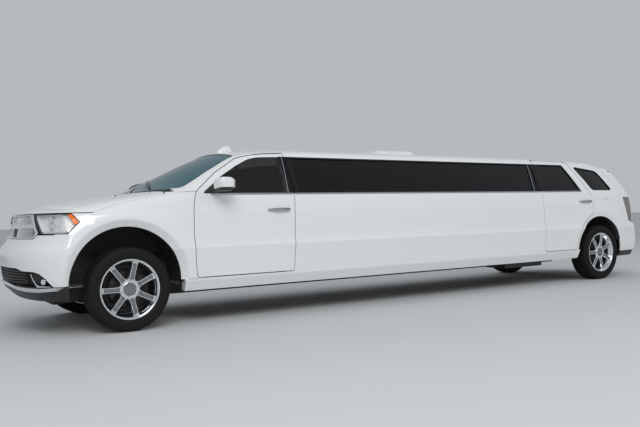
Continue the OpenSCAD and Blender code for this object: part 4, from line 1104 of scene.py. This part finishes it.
def make_headlamps():
    inner_side, inner_front = grown(LAMP_SIDE, -.007), grown(LAMP, -.007)
    rims = [cut_layer(*depths, [left(LAMP_SIDE), front(LAMP)],
                      [new_object("tool", carve(front(inner_front).data, [left(inner_side)]))])
            for depths in ((.0005, .012), (.012, .052))]
    add_piece("headlamp_edges", "chassis", finish_mesh(pair(rims[0]), GLOSS_BLACK), "headlamps")
    add_piece("headlamp_walls", "chassis", finish_mesh(pair(rims[1]), WHITE_LENS))
    marker = [(FA + .505, 1.069), (FA + .452, 1.069), (FA + .412, .985), (FA + .462, .979)]
    lens = cut_layer(.001, .005, [left(inner_side), front(inner_front)], [left(grown(marker, .001))])
    add_piece("headlamp_lenses", "chassis", finish_mesh(pair(lens), LENS))
    bowl = cut_layer(.036, .048, [left(inner_side), front(inner_front)])
    add_piece("headlamp_bowls", "chassis", finish_mesh(pair(bowl), WHITE_LENS))
    strip = cut_layer(.012, .040, [left(inner_side), front(inner_front),
                                   block((FA + .50, .3, .8), (NOSE, 1, .921))])
    tail = [(FA + .53, .904), (FA + .53, .921), (FA + .47, .946), (FA + .427, 1.0), (FA + .400, 1.0),
            (FA + .45, .925)]
    strip2 = cut_layer(.010, .030, [left(inner_side), left(tail)])
    add_piece("headlamp_strips", "chassis", finish_mesh(pair(joined("strip", [strip, strip2])), CHROME))
    amber = cut_layer(.0008, .024, [left(rounded(marker, .006)), left(inner_side)])
    add_piece("side_markers", "chassis", finish_mesh(pair(amber), AMBER))
    rings, bulbs = [], []
    for y, z in ((.745, 1.024), (.762, .968)):
        axis = (.86, .48, 0)
        centre = np.array((on_front(y, z), y, z)) - np.array(axis) * .020
        rings.append(ring_part(centre, axis, .029, .008, .030))
        bulbs.append(disc_dome(centre - np.array(axis) * .006, axis, .021, .006))
    add_piece("headlamp_rings", "chassis", smooth_mesh("rings", both_sides(rings), CHROME))
    add_piece("headlamp_bulbs", "chassis", smooth_mesh("bulbs", both_sides(bulbs), LAMP_BOWL))
    fins = []
    for y in (.800, .812, .824):
        z = np.linspace(.935, 1.055, 7)
        fins.append(tube([(on_front(y, v) - .034, y, v) for v in z], .0022, 6))
    add_piece("headlamp_fins", "chassis", smooth_mesh("fins", both_sides(fins), LAMP_BOWL))


def make_lower_front():
    back = cut_layer(.040, .046, [front(grown(MOUTH, .004)), block((FA + .4, -1.2, .425), (NOSE, 1.2, .7))])
    slats = []
    for z in (.478, .503, .528, .553, .578):
        y = np.linspace(-.62, .62, 41)
        slats.append(tube([(on_front(v, z) - .030, v, z) for v in y], .0065, 8))
    for y in np.linspace(-.56, .56, 9):
        z = np.linspace(.455, .6, 5)
        slats.append(tube([(on_front(y, v) - .033, y, v) for v in z], .005, 6))
    add_piece("lower_grille_back", "chassis", finish_mesh(back, BLACK), "lower_grille")
    add_piece("lower_grille_slats", "chassis", smooth_mesh("slats", merged(slats), BLACK))
    bright, lamps, shrouds = [], [], []
    z = np.linspace(.560, .447, 9)
    y = np.linspace(.700, .744, 9)
    bright.append(tube([(on_front(a, b) - .010, a, b) for a, b in zip(y, z)], np.linspace(.005, .009, 9), 8))
    y = np.linspace(.744, .850, 8)
    bright.append(tube([(on_front(a, .449) - .012, a, .449) for a in y], np.linspace(.009, .004, 8), 8))
    axis = (.80, .60, 0)
    centre = np.array((on_front(.800, .490), .800, .490)) - np.array(axis) * .020
    shrouds.append(ring_part(centre, axis, .034, .008, .02))
    lamps.append(disc_dome(centre - np.array(axis) * .004, axis, .026, .006))
    add_piece("fog_lamp_rings", "chassis", smooth_mesh("fog_rings", both_sides(shrouds), BLACK))
    add_piece("fog_lamp_bezels", "chassis", smooth_mesh("bezels", both_sides(bright), CHROME))
    add_piece("fog_lamp_lenses", "chassis", smooth_mesh("fog", both_sides(lamps), LAMP_BOWL))


for make in (make_grille, make_headlamps, make_lower_front):
    make()


# Side trim, mirrors, handles, roof pieces and rear end.
BAND = [(FA - 1.655, 1.238), (FA - 1.655, 1.633), (FA - 2.2, 1.632), (RA + 1.3, 1.622), (RA + .548, 1.620),
        (RA + .36, 1.246)]
DOORS = (("fl", DOOR_F, GLASS_F, False), ("fr", DOOR_F, GLASS_F, True), ("rl", DOOR_R, GLASS_R, False),
         ("rr", DOOR_R, GLASS_R, True))


def strip_on_side(x0, x1, z0, z1, width, rise, steps=24, taper=0.0):
    """Flat moulding that follows the side of the body from (x0, z0) to (x1, z1)."""
    sections = []
    for u in np.linspace(0, 1, steps):
        x, z = x0 + (x1 - x0) * u, z0 + (z1 - z0) * u
        w = width / 2 * (1 - taper * max(0, 1 - u * 6))
        low, high = on_side(x, z - w), on_side(x, z + w)
        sections.append([(x, low - .004, z - w), (x, low + rise * .7, z - w), (x, low + rise, z - w * .5),
                         (x, high + rise, z + w * .5), (x, high + rise * .7, z + w), (x, high - .004, z + w)])
    return loft(sections)


def flipped(part):
    return np.asarray(part[0]) * (1, -1, 1), [f[::-1] for f in part[1]]


def make_side_trim():
    for corner, outline, window, right in DOORS:
        mesh = cut_layer(-.0012, .0115, [left(BAND), left(grown(outline, .0006)),
                                         left(roof_line(GAP + .004))], [left(grown(window, .001))])
        mesh = mirrored_mesh(mesh) if right else mesh
        add_piece(f"pillar_trim_{corner}", f"door_{corner}", finish_mesh(mesh, GLOSS_BLACK))
        seal = cut_layer(-.0016, .012, [left(grown(window, .004))], [left(grown(window, -.005))])
        seal = mirrored_mesh(seal) if right else seal
        add_piece(f"window_seal_{corner}", f"door_{corner}", finish_mesh(seal, SEAL))
    mesh = cut_layer(-.0012, .0115, [left(BAND)],
                     [left(grown(w, .001)) for w in (GLASS_LONG, GLASS_POST)]
                     + [left(grown(DOOR_F, GAP - .0006)), left(grown(DOOR_R, GAP - .0006))])
    add_piece("pillar_trim", "chassis", finish_mesh(pair(mesh), GLOSS_BLACK))
    seals = [cut_layer(-.0016, .012, [left(grown(w, .003))], [left(grown(w, -.004))])
             for w in (GLASS_LONG, GLASS_POST, GLASS_Q)]
    add_piece("window_seals", "chassis", finish_mesh(pair(joined("seals", seals)), SEAL))
    # Bright uprights, and the belt moulding under the glass.
    for corner, right in (("fl", False), ("fr", True)):
        mid = [(FA - 1.672 - .034 * u, on_side(FA - 1.672 - .034 * u, 1.246 + .376 * u) + .0015,
                1.246 + .376 * u)
               for u in np.linspace(0, 1, 14)]
        belt = strip_on_side(FA - .86, FA - 1.728, 1.236, 1.236, .016, .005, taper=.7)
        part = merged([tube(mid, .0042, 8), belt])
        mesh = smooth_mesh("door_brights", flipped(part) if right else part, BRIGHT)
        add_piece(f"bright_trim_{corner}", f"door_{corner}", mesh)
    for corner, right in (("rl", False), ("rr", True)):
        part = strip_on_side(RA + 1.180, RA + .37, 1.240, 1.244, .015, .005)
        mesh = smooth_mesh("door_brights", flipped(part) if right else part, BRIGHT)
        add_piece(f"bright_trim_{corner}", f"door_{corner}", mesh)
    divider = [(RA + 1.335 - .075 * u, on_side(RA + 1.335 - .075 * u, 1.25 + .364 * u) + .001,
                1.25 + .364 * u)
               for u in np.linspace(0, 1, 12)]
    belt = strip_on_side(FA - 1.750, RA + 1.200, 1.236, 1.240, .015, .005, 60)
    add_piece("bright_trim", "chassis", smooth_mesh("side_brights",
                                                    both_sides([tube(divider, .004, 8), belt]), BRIGHT))


def make_handles():
    """Chrome pulls: lens-shaped, tapered to the front, with two dark plugs near the back."""
    for corner, x0, z0, right in (("fl", FA - 1.54, 1.078, False), ("fr", FA - 1.54, 1.078, True),
                                  ("rl", RA + .32, 1.107, False), ("rr", RA + .32, 1.107, True)):
        sections, n = [], 16
        for u in np.linspace(0, 1, 25):
            x = x0 + .128 - .256 * u
            high = .0155 * (1 - max(0, 1 - u / .45) ** 2 * .8) * (1 - max(0, u - .93) / .07 * .35)
            stand = .006 + .036 * math.sin(math.pi * min(1, max(0, u * .94 + .03))) ** .55
            t = np.linspace(0, 2 * math.pi, n, endpoint=False)
            y = on_side(x, z0)
            sections.append(np.column_stack([np.full(n, x), y + stand * .72 + .0105 * np.cos(t),
                                             z0 - .002 + high * np.sin(t)]))
        plugs = []
        for d in (.060, .088):
            x = x0 - d
            u = (x0 + .128 - x) / .256
            stand = .006 + .036 * math.sin(math.pi * min(1, max(0, u * .94 + .03))) ** .55
            plugs.append(disc_dome((x, on_side(x, z0) + stand * .72 + .0095, z0 + .003), (0, 1, .1), .0068,
                                   .0018, 16))
        feet = [box_part((x0 + a, on_side(x0 + a, z0) - .004, z0 - .009),
                         (x0 + b, on_side(x0, z0) + .024, z0 + .007))
                for a, b in ((.094, .116), (-.116, -.092))]
        body = f"door_{corner}"
        parts = [loft(sections)] + feet
        add_piece(f"handle_{corner}", body,
                  smooth_mesh("handle", flipped(merged(parts)) if right else merged(parts), BRIGHT),
                  f"handles_{corner}")
        add_piece(f"handle_plugs_{corner}", body,
                  smooth_mesh("plugs", flipped(merged(plugs)) if right else merged(plugs), GLOSS_BLACK))


def split_below(mesh, place, normal, mat):
    """Cut the mesh at a plane and give what lies below it another finish."""
    bm = bmesh.new()
    bm.from_mesh(mesh)
    bmesh.ops.bisect_plane(bm, geom=bm.verts[:] + bm.edges[:] + bm.faces[:], plane_co=place, plane_no=normal)
    bm.to_mesh(mesh)
    bm.free()
    mesh.materials.append(mat)
    for poly in mesh.polygons:
        poly.material_index = int((poly.center - Vector(place)).dot(Vector(normal)) < 0)


def make_mirrors():
    """Door mirrors: a rounded cap, dark below, on a short arm from a corner sail."""
    sections, n = [], 40
    for y, size in ((.984, .62), (.990, .80), (1.004, .92), (1.030, .985), (1.070, 1.0), (1.105, .975),
                    (1.130, .90), (1.143, .78), (1.148, .60)):
        t = np.linspace(0, 2 * math.pi, n, endpoint=False)
        c, s = np.cos(t), np.sin(t)
        c, s = np.sign(c) * np.abs(c) ** .55, np.sign(s) * np.abs(s) ** .62
        depth = np.where(c > 0, .090 * (1 - (y - 1.0) * 1.2), .084)
        sections.append(np.column_stack([FA - .880 + c * depth * size, np.full(n, y),
                                         1.322 + (y - 1.06) * .05 + s * .068 * size]))
    head = loft(sections)
    arm = loft([[(FA - .800, .905, 1.246), (FA - .868, .905, 1.246), (FA - .868, .905, 1.276),
                 (FA - .800, .905, 1.276)], [(FA - .815, .960, 1.252), (FA - .870, .960, 1.252),
                                             (FA - .870, .960, 1.278), (FA - .815, .960, 1.278)],
                                             [(FA - .835, 1.02, 1.262), (FA - .885, 1.02, 1.262),
                                              (FA - .885, 1.02, 1.284), (FA - .835, 1.02, 1.284)]])
    glass_part = loft([[(FA - .9645 - d, y, z) for y, z in
                        rounded([(1.005, 1.282), (1.125, 1.284), (1.128, 1.366), (1.005, 1.364)], .02)]
                       for d in (0, .0018)])
    sail = [(FA - .738, 1.246), (FA - .8755, 1.350), (FA - .8755, 1.246)]
    for side, right in (("l", False), ("r", True)):
        body = f"door_f{side}"
        turn = flipped if right else (lambda p: p)
        mesh = smooth_mesh("mirror", turn(head), PAINT, 50)
        split_below(mesh, (0, 1.06 if not right else -1.06, 1.284), (0, .1 if right else -.1, 1), BLACK)
        add_piece(f"mirror_cap_{side}", body, mesh, f"mirror_{side}")
        add_piece(f"mirror_arm_{side}", body, bevelled(smooth_mesh("arm", turn(arm), BLACK), .006))
        add_piece(f"mirror_glass_{side}", body, smooth_mesh("mirror_glass", turn(glass_part), LAMP_BOWL))
        plate = cut_layer(-.002, .014, [left(sail)])
        add_piece(f"mirror_sail_{side}", body, finish_mesh(mirrored_mesh(plate) if right else plate, BLACK))


def make_roof_trim():
    """Roof vent, antenna fin, washer jets, wipers and the dark edge of the windshield."""
    middle = FA - 3.52
    across_y = np.linspace(-.3, .3, 31)
    dome = (1 - np.abs(across_y / .3) ** 8) ** .5
    sections = []
    for x in spread((middle - .388, middle - .33, .008), (middle - .33, middle + .36, .03)):
        rise = .0445 * float(ease((x - middle + .39) / .06)) * float(ease((middle + .372 - x) / .27))
        under = np.array([on_top(x, y) - .004 for y in across_y])
        upper = np.column_stack([np.full(31, x), across_y, under + .004 + (rise + .001) * dome - .001])
        sections.append(np.concatenate([upper, np.column_stack([np.full(31, x), across_y, under])[::-1]]))
    add_piece("roof_vent_piece", "chassis", smooth_mesh("vent", loft(sections), PAINT, 40), "roof_vent")
    sections = []
    base = on_top(FA - 1.40, 0) - .008
    for u in np.linspace(0, 1, 13):
        half = .026 * (1 - u ** 2) ** .5 + .002
        nose = FA - 1.285 - .078 * u - .055 * u ** 7
        heel = FA - 1.474 + .014 * u + .036 * u ** 7
        t = np.linspace(0, 2 * math.pi, 24, endpoint=False)
        sections.append(np.column_stack([(nose + heel) / 2 + (nose - heel) / 2 * np.cos(t), half * np.sin(t),
                                         np.full(24, base + (1.8055 - base) * u)]))
    add_piece("roof_fin", "chassis", smooth_mesh("fin", loft(sections), PAINT, 60))
    border = cut_layer(.0052, .013, [above(grown(SCREEN, -.001), 1.18)], [above(grown(SCREEN, -.022), 1.18)])
    add_piece("windshield_border", "chassis", finish_mesh(border, GLOSS_BLACK))
    parts = []
    for y0, y1, x1 in ((.52, -.02, FA - .500), (-.10, -.60, FA - .640)):
        path = [(FA - .335, y0, 0), (FA - .400, (y0 * 2 + y1) / 3, 0), (x1, y1, 0)]
        path = np.array([(x, y, on_top(x, y) + .022) for x, y, _ in path])
        u = np.linspace(0, 1, 13)[:, None]
        curve = path[0] * (1 - u) ** 2 + 2 * path[1] * u * (1 - u) + path[2] * u ** 2
        curve[:, 2] = [on_top(x, y) + .016 for x, y in curve[:, :2]]
        parts.append(tube(curve, np.linspace(.007, .004, 13), 6))
        blade = np.array([(x + .02, y, on_top(x + .02, y) + .008) for x, y in curve[4:, :2]])
        parts.append(tube(blade, .004, 6))
    add_piece("wipers", "chassis", smooth_mesh("wipers", merged(parts), BLACK))
    jets = [disc_dome((FA - .05, y, on_top(FA - .05, y)), (.3, 0, 1), .009, .007, 14) for y in (.36, -.36)]
    add_piece("washer_jets", "hood", smooth_mesh("jets", merged(jets), BLACK))


def make_seam_backs():
    """Lower lip of the roof over the rear doors, which narrows their top joint."""
    back = cut_layer(.0004, .012, [left(roof_line(-.002)), block((RA + .45, .3, 1.5),
                                                                 (RA + 1.09, 1.2, 1.72))],
                                                                 [left(roof_line(.0065))])
    add_piece("seam_backs", "chassis", finish_mesh(pair(back), PAINT))


def make_lower_side():
    """Bright ledge on the sill, its tab at the rear arch, and the fuel door's joint."""
    lip = loft([[(x, .938, .4365), (x, .9565, .4295), (x, .9572, .4330), (x, .9420, .4395)]
                for x in np.linspace(RA + .56, FA - .56, 30)])
    add_piece("sill_ledges", "chassis", smooth_mesh("ledges", both_sides([lip]), PAINT))
    tab = loft([[(RA + .500, y, .440), (RA + .560, y, .440), (RA + .592, y - .02, .338),
                 (RA + .535, y - .02, .338)]
                for y in (.925, .958)])
    add_piece("sill_tabs", "chassis", bevelled(smooth_mesh("tabs", both_sides([tab]), PAINT), .004))
    ring = rounded([(RA - .085, 1.140), (RA - .245, 1.140), (RA - .215, 1.020), (RA - .060, 1.020)], .02)
    joint = cut_layer(-.0003, .003, [left(ring)], [left(grown(ring, -.003))])
    add_piece("fuel_door_joint", "chassis", finish_mesh(joint, UNDER))


def make_rear_trim():
    """Lamp details, gate handle, high lamp and lower valance."""
    lamp_face = cut_layer(-.002, .004, [left(grown(TAIL_SIDE, -.012)),
                                        block((TAIL, .3, .7), (TAIL + .37, .80, 1.3))],
                                        [rear(grown(GATE, GAP + .012))])
    white = [(TAIL - .06, .930), (TAIL - .06, 1.000), (TAIL + .9, 1.000), (TAIL + .9, .930)]
    clear = cut_layer(-.004, .002, [left(white), left(grown(TAIL_SIDE, -.02)),
                                    block((TAIL, .3, .7), (TAIL + .5, .81, 1.3))],
                                    [rear(grown(GATE, GAP + .02))])
    add_piece("tail_lamp_faces", "chassis", finish_mesh(pair(lamp_face), RED))
    add_piece("reverse_lamps", "chassis", finish_mesh(pair(clear), WHITE_LENS))
    edge = cut_layer(-.0005, .008, [left(TAIL_SIDE)],
                     [left(grown(TAIL_SIDE, -.006)), rear(grown(GATE, GAP))])
    add_piece("tail_lamp_edges", "chassis", finish_mesh(pair(edge), BLACK))
    seal = cut_layer(-.0012, .012, [rear(grown(GATE_GLASS, .004)),
                                    block((TAIL - .1, -1, 1.2), (TAIL + .62, 1, 1.594))],
                                    [rear(grown(GATE_GLASS, -.012))])
    add_piece("gate_glass_border", "liftgate", finish_mesh(seal, GLOSS_BLACK))
    bar = [(-.36, 1.056), (.36, 1.056), (.34, 1.096), (-.34, 1.096)]
    add_piece("gate_bar", "liftgate", finish_mesh(cut_layer(-.012, .002, [rear(rounded(bar, .012))]), CHROME))
    high = [(-.17, 1.578), (.17, 1.578), (.17, 1.592), (-.17, 1.592)]
    add_piece("high_lamp", "liftgate", finish_mesh(cut_layer(-.003, .004, [rear(high)]), RED))
    low = cut_layer(.006, .034, [block((TAIL - .1, -1.2, .300), (RA - .455, 1.2, .3795))],
                    [across(circle(ARCH_R))])
    add_piece("rear_valance", "chassis", finish_mesh(low, BLACK))
    dark = [(-.62, .400), (.62, .400), (.56, .470), (-.56, .470)]
    add_piece("rear_step_pad", "chassis", finish_mesh(cut_layer(-.002, .004,
                                                                [rear(rounded(dark, .02), .5)]), BLACK))
    corner = [(TAIL - .06, 1.1603), (TAIL + .3298, 1.1603), (TAIL + .3298, 1.597), (TAIL - .06, 1.597)]
    fill = shade_by_skin(carve(shell((.012,) * 3), [left(corner)], [rear(grown(GATE, GAP))]))
    add_piece("rear_corners", "chassis", finish_mesh(pair(fill), PAINT))


for make in (make_side_trim, make_handles, make_mirrors, make_roof_trim, make_seam_backs, make_lower_side,
             make_rear_trim):
    make()


# Cabin: padded seats and arm rests, dashboard details, and what shows under the hood.
FLOOR_Z = .420
CUSHION = .160
BENCH_X, BENCH_END = RA + 1.5, FA - 2.55


def pad_part(size, r, crown, channels=(), across_channels=()):
    """Stuffed pad about the origin: rounded edges, crowned toward +z, sides drawn in, sewn channels."""
    half = np.asarray(size, float) / 2
    n = [max(10, min(72, int(s / .022))) for s in size]
    faces, points, base = [], [], 0
    for axis in range(3):
        u, v = [k for k in range(3) if k != axis]
        gu, gv = (np.sin(np.linspace(-1, 1, n[k] + 1) * math.pi / 2 * .92)
                  / math.sin(math.pi / 2 * .92) for k in (u, v))
        for sign in (-1, 1):
            grid = np.zeros((len(gu), len(gv), 3))
            grid[..., axis] = sign
            grid[..., u], grid[..., v] = np.meshgrid(gu, gv, indexing="ij")
            i, j = np.meshgrid(np.arange(len(gu) - 1), np.arange(len(gv) - 1), indexing="ij")
            k = base + i * len(gv) + j
            faces.append(np.stack([k, k + len(gv), k + len(gv) + 1, k + 1], -1).reshape(-1, 4))
            points.append(grid.reshape(-1, 3))
            base += grid.shape[0] * grid.shape[1]
    p = np.concatenate(points) * half
    core = np.clip(p, -(half - r), half - r)
    d = p - core
    p = core + d * r / np.maximum(np.linalg.norm(d, axis=1, keepdims=True), 1e-9)
    s = p / half
    bulge = (1 - s[:, 0] ** 2) * (1 - s[:, 1] ** 2)
    top = s[:, 2] > 0
    z = p[:, 2] + np.where(top, crown * (np.clip(bulge, 0, 1) ** .5 - .75), 0)
    for spots, k in ((channels, 0), (across_channels, 1)):
        for c in spots:
            z = z - np.where(top, .011 * np.exp(-((p[:, k] - c) / .011) ** 2), 0)
    side = 1 - .012 * np.clip(1 - s ** 2, 0, 1)
    return np.column_stack([p[:, 0] * side[:, 1], p[:, 1] * side[:, 0],
                            z]), [tuple(f) for f in np.concatenate(faces)]


def add_pad(name, body, size, place, turn, r, crown, channels=(), across_channels=(), nodes=(),
            mat=None):
    """Padded piece set in place, its face turned from +z by the given matrix."""
    points, faces = pad_part(size, r, crown, channels, across_channels)
    points = points @ np.array(turn).T + np.asarray(place)
    mesh = smooth_mesh(name, (points, faces), mat or LEATHER, 60)
    obj = add_piece(name, body, mesh, *nodes)
    return obj


UPRIGHT = Matrix(((1, 0, 0), (0, 1, 0), (0, 0, 1)))
# Face toward +x, leaning back.
LEAN_BACK = Matrix.Rotation(math.radians(90 - 18), 3, "Y")
FACE_FRONT = Matrix.Rotation(math.radians(90), 3, "Y")
# Face toward +y, with the pad's length along x.
FACE_LEFT = Matrix(((1, 0, 0), (0, 0, 1), (0, -1, 0)))


def make_seats():
    x, z = FA - 1.78, FLOOR_Z + .18
    lean = math.radians(18)
    for side, sign in (("l", 1), ("r", -1)):
        y = .4 * sign
        nodes = ["front_seats"] if side == "l" else []
        add_pad(f"front_cushion_{side}", "chassis", (.50, .51, .150), (x + .27, y, z + .078), UPRIGHT, .045,
                .035, (-.06, .08), (-.15, .15), nodes)
        along = np.array((-math.sin(lean), 0, math.cos(lean)))
        out = np.array((math.cos(lean), 0, math.sin(lean)))
        base = np.array((x, y, z + CUSHION)) - .02 * (along + out)
        add_pad(f"front_back_{side}", "chassis", (.57, .50, .122), base + along * .305 + out * .065,
                LEAN_BACK, .045, .030, (-.12, .02, .15), (-.15, .15))
        add_pad(f"headrest_{side}", "chassis", (.180, .25, .085), base + along * .690 + out * .065,
                LEAN_BACK, .035, .018)
        posts = [tube([base + along * .55 + out * .065 + (0, d, 0),
                       base + along * .66 + out * .065 + (0, d, 0)], .006, 10)
                 for d in (-.06, .06)]
        add_piece(f"headrest_posts_{side}", "chassis", smooth_mesh("posts", merged(posts), STEEL))
        add_piece(f"seat_base_{side}", "chassis",
                  block_mesh("base", (x + .05, y - .2, FLOOR_Z), (x + .46, y + .2, FLOOR_Z + .178), BLACK,
                             .012))
    long = BENCH_END - BENCH_X
    mid = (BENCH_X + BENCH_END) / 2
    seams = [long * (k / 5 - .5) for k in range(1, 5)]
    add_piece("lounge_plinth", "chassis",
              block_mesh("plinth", (BENCH_X, -.775, FLOOR_Z), (BENCH_END, -.285, FLOOR_Z + .252), TRIM,
                         .008), "lounge_seats")
    add_pad("lounge_cushion", "chassis", (long, .51, .155), (mid, -.52, FLOOR_Z + .33), UPRIGHT, .045, .03,
            seams)
    add_pad("lounge_back", "chassis", (long, .39, .125), (mid, -.735, FLOOR_Z + .61), FACE_LEFT, .045, .022,
            seams)
    add_piece("rear_plinth", "chassis",
              block_mesh("plinth", (RA + .50, -.635, FLOOR_Z), (RA + 1.075, .635, FLOOR_Z + .252), TRIM,
                         .008))
    add_pad("rear_cushion", "chassis", (.47, 1.27, .155), (RA + .862, 0, FLOOR_Z + .33), UPRIGHT, .045, .03,
            (), (-.212, .212))
    add_pad("rear_back", "chassis", (.63, 1.27, .135), (RA + .55, 0, FLOOR_Z + .65), FACE_FRONT, .045, .026,
            (), (-.212, .212))


def make_cabin():
    """Inside mirror, dashboard parts, arm rests and the tinted top of the windshield."""
    add_piece("inside_mirror", "chassis",
              block_mesh("mirror", (FA - 1.085, -.125, 1.500), (FA - 1.060, .125, 1.565), BLACK, .010))
    add_piece("inside_mirror_stem", "chassis",
              smooth_mesh("stem", tube([(FA - 1.066, 0, 1.545), (FA - 1.05, 0, 1.585),
                                        (FA - 1.03, 0, 1.612)], .008, 10), BLACK))
    band = cut_layer(.0150, .0158, [above(grown(SCREEN, -.021), 1.18),
                                    block((FA - 1.4, -1, 1.2), (FA - .99, 1, 1.9))])
    add_piece("sun_band", "chassis", finish_mesh(band, SUN_BAND))
    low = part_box("dashboard")[0]
    back = low.x
    add_piece("instrument_hood", "chassis",
              block_mesh("hood", (back - .02, .235, 1.135), (back + .17, .565, 1.196), TRIM, .022))
    add_piece("instrument_face", "chassis",
              block_mesh("face", (back - .026, .255, 1.075), (back + .03, .545, 1.135), GLOSS_BLACK, .006))
    add_piece("centre_screen", "chassis",
              block_mesh("screen", (back - .016, -.125, 1.000), (back + .06, .125, 1.130), GLOSS_BLACK, .006))
    vents = [box_part((back - .012, y - .055, 1.060), (back + .06, y + .055, 1.105)) for y in (-.60, -.19,
            .19, .635)]
    add_piece("dash_vents", "chassis", bevelled(smooth_mesh("vents", merged(vents), BLACK), .006))
    add_piece("console", "chassis",
              block_mesh("console", (FA - 1.66, -.105, FLOOR_Z), (back + .10, .105, FLOOR_Z + .34), TRIM,
                         .025))
    knob = lathe([(0, .10), (.014, .098), (.021, .085), (.019, .066), (.009, .055), (.009, 0)], 24)
    knob = (knob[0][:, [0, 2, 1]] * (1, -1, 1) + (back - .12, 0, FLOOR_Z + .335), knob[1])
    add_piece("shift_lever", "chassis", smooth_mesh("lever", knob, LEATHER))
    for corner, x0, right in (("fl", FA - 1.30, False), ("fr", FA - 1.30, True), ("rl", RA + .72, False),
                              ("rr", RA + .72, True)):
        y = on_side(x0, .93) - .075
        sign = -1 if right else 1
        add_pad(f"arm_rest_{corner}", f"door_{corner}", (.42, .070, .055), (x0, sign * (y - .034), .93),
                UPRIGHT, .02, .006)
        pull = tube([(x0 + .12, sign * (y - .001), 1.085), (x0 + .10, sign * (y - .018), 1.085),
                     (x0 + .02, sign * (y - .020), 1.085), (x0 - .01, sign * (y - .001), 1.085)], .006, 8)
        add_piece(f"inner_pull_{corner}", f"door_{corner}", smooth_mesh("pull", pull, CHROME))


def make_engine_bay():
    """Ribbed cover on the engine's top, under the hood."""
    low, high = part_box("engine")
    mx, my = (low.x + high.x) / 2, (low.y + high.y) / 2
    cover = (mx - .22, my - .20, high.z - .004), (mx + .22, my + .20, high.z + .028)
    add_piece("engine_cover", "chassis", block_mesh("cover", *cover, BLACK, .012))
    ribs = [box_part((mx - .20, my + d - .012, high.z + .026), (mx + .20, my + d + .012, high.z + .034))
            for d in (-.12, -.06, 0, .06, .12)]
    add_piece("engine_cover_ribs", "chassis", bevelled(smooth_mesh("ribs", merged(ribs), BLACK), .003))


SUN_BAND = glass("sun_band", (.010, .045, .085), .72)
for make in (make_seats, make_cabin, make_engine_bay):
    make()


# Materials of the CAD nodes that stay in view.
KEPT = {"floor": CARPET, "underframe": UNDER, "engine": IRON, "exhaust": STEEL, "drivetrain": IRON,
        "fuel_tank": BLACK, "front_suspension": UNDER, "wheel_liners": UNDER, "hinges": PAINT,
        "dashboard": TRIM, "steering_wheel": LEATHER, "front_seats": LEATHER, "lounge_seats": LEATHER,
        "knuckle_l": UNDER, "knuckle_r": UNDER, "sills": PAINT, "grille": CHROME, "lower_grille": BLACK,
        "headlamps": WHITE_LENS}
for name, obj in NODE.items():
    mat = KEPT.get(name)
    if name.startswith(("rim", "handles")):
        mat = CHROME
    if name.startswith("tyre"):
        mat = RUBBER
    if name.startswith("mirror"):
        mat = PAINT
    if mat:
        finish_mesh(obj.data, mat)

# Camera at the photograph's place.
PICTURE_W, FOCAL_PX = 640, 700.0
EYE = Vector((5.3908, 7.1439, 1.0024))
YAW, PITCH, ROLL = (math.radians(a) for a in (32.612, 0.158, -1.476))
SENSOR = 36.0


def make_camera():
    ahead = Vector((-math.sin(YAW) * math.cos(PITCH), -math.cos(YAW) * math.cos(PITCH), math.sin(PITCH)))
    level = ahead.cross(Vector((0, 0, 1))).normalized()
    rise = level.cross(ahead)
    right = level * math.cos(ROLL) + rise * math.sin(ROLL)
    up = rise * math.cos(ROLL) - level * math.sin(ROLL)
    data = bpy.data.cameras.new("camera")
    data.sensor_width = SENSOR
    data.lens = FOCAL_PX * SENSOR / PICTURE_W
    data.clip_start, data.clip_end = .05, 400
    cam = bpy.data.objects.new("camera", data)
    bpy.context.scene.collection.objects.link(cam)
    cam.matrix_world = Matrix((right, up, -ahead)).transposed().to_4x4()
    cam.location = EYE
    bpy.context.scene.camera = cam


# Stage: a pale floor, soft lamps and an even pale surround.
FLOOR = (.60, .61, .61)
SURROUND = (.62, .655, .69)


def lamp(name, place, aim, size, power, mirrored=True):
    data = bpy.data.lights.new(name, "AREA")
    data.shape, data.size, data.size_y, data.energy = "RECTANGLE", size[0], size[1], power
    obj = bpy.data.objects.new(name, data)
    obj.location = place
    obj.visible_glossy = mirrored
    obj.rotation_euler = (Vector(aim) - Vector(place)).to_track_quat("-Z", "Y").to_euler()
    bpy.context.scene.collection.objects.link(obj)


def make_stage():
    r = 120
    floor = new_object("floor_plane", make_mesh("floor_plane",
                                                [(-r, -r, 0), (r, -r, 0), (r, r, 0), (-r, r, 0)],
                                                [(0, 1, 2, 3)]))
    finish_mesh(floor.data, material("pale_floor", FLOOR, .85, vary=.015, grain=1.5))
    world = bpy.data.worlds.new("surround")
    bpy.context.scene.world = world
    world.use_nodes = True
    world.node_tree.nodes["Background"].inputs["Color"].default_value = (*SURROUND, 1)
    world.node_tree.nodes["Background"].inputs["Strength"].default_value = .75
    lamp("key", (6, 9, 8), (0, 0, .6), (7, 5), 560)
    lamp("fill", (-7, 8, 6), (-1, 0, .8), (8, 5), 190, False)
    lamp("rim", (0, -9, 7), (0, 0, .8), (10, 4), 200, False)


make_camera()
make_stage()
bpy.context.scene.view_settings.view_transform = "Standard"
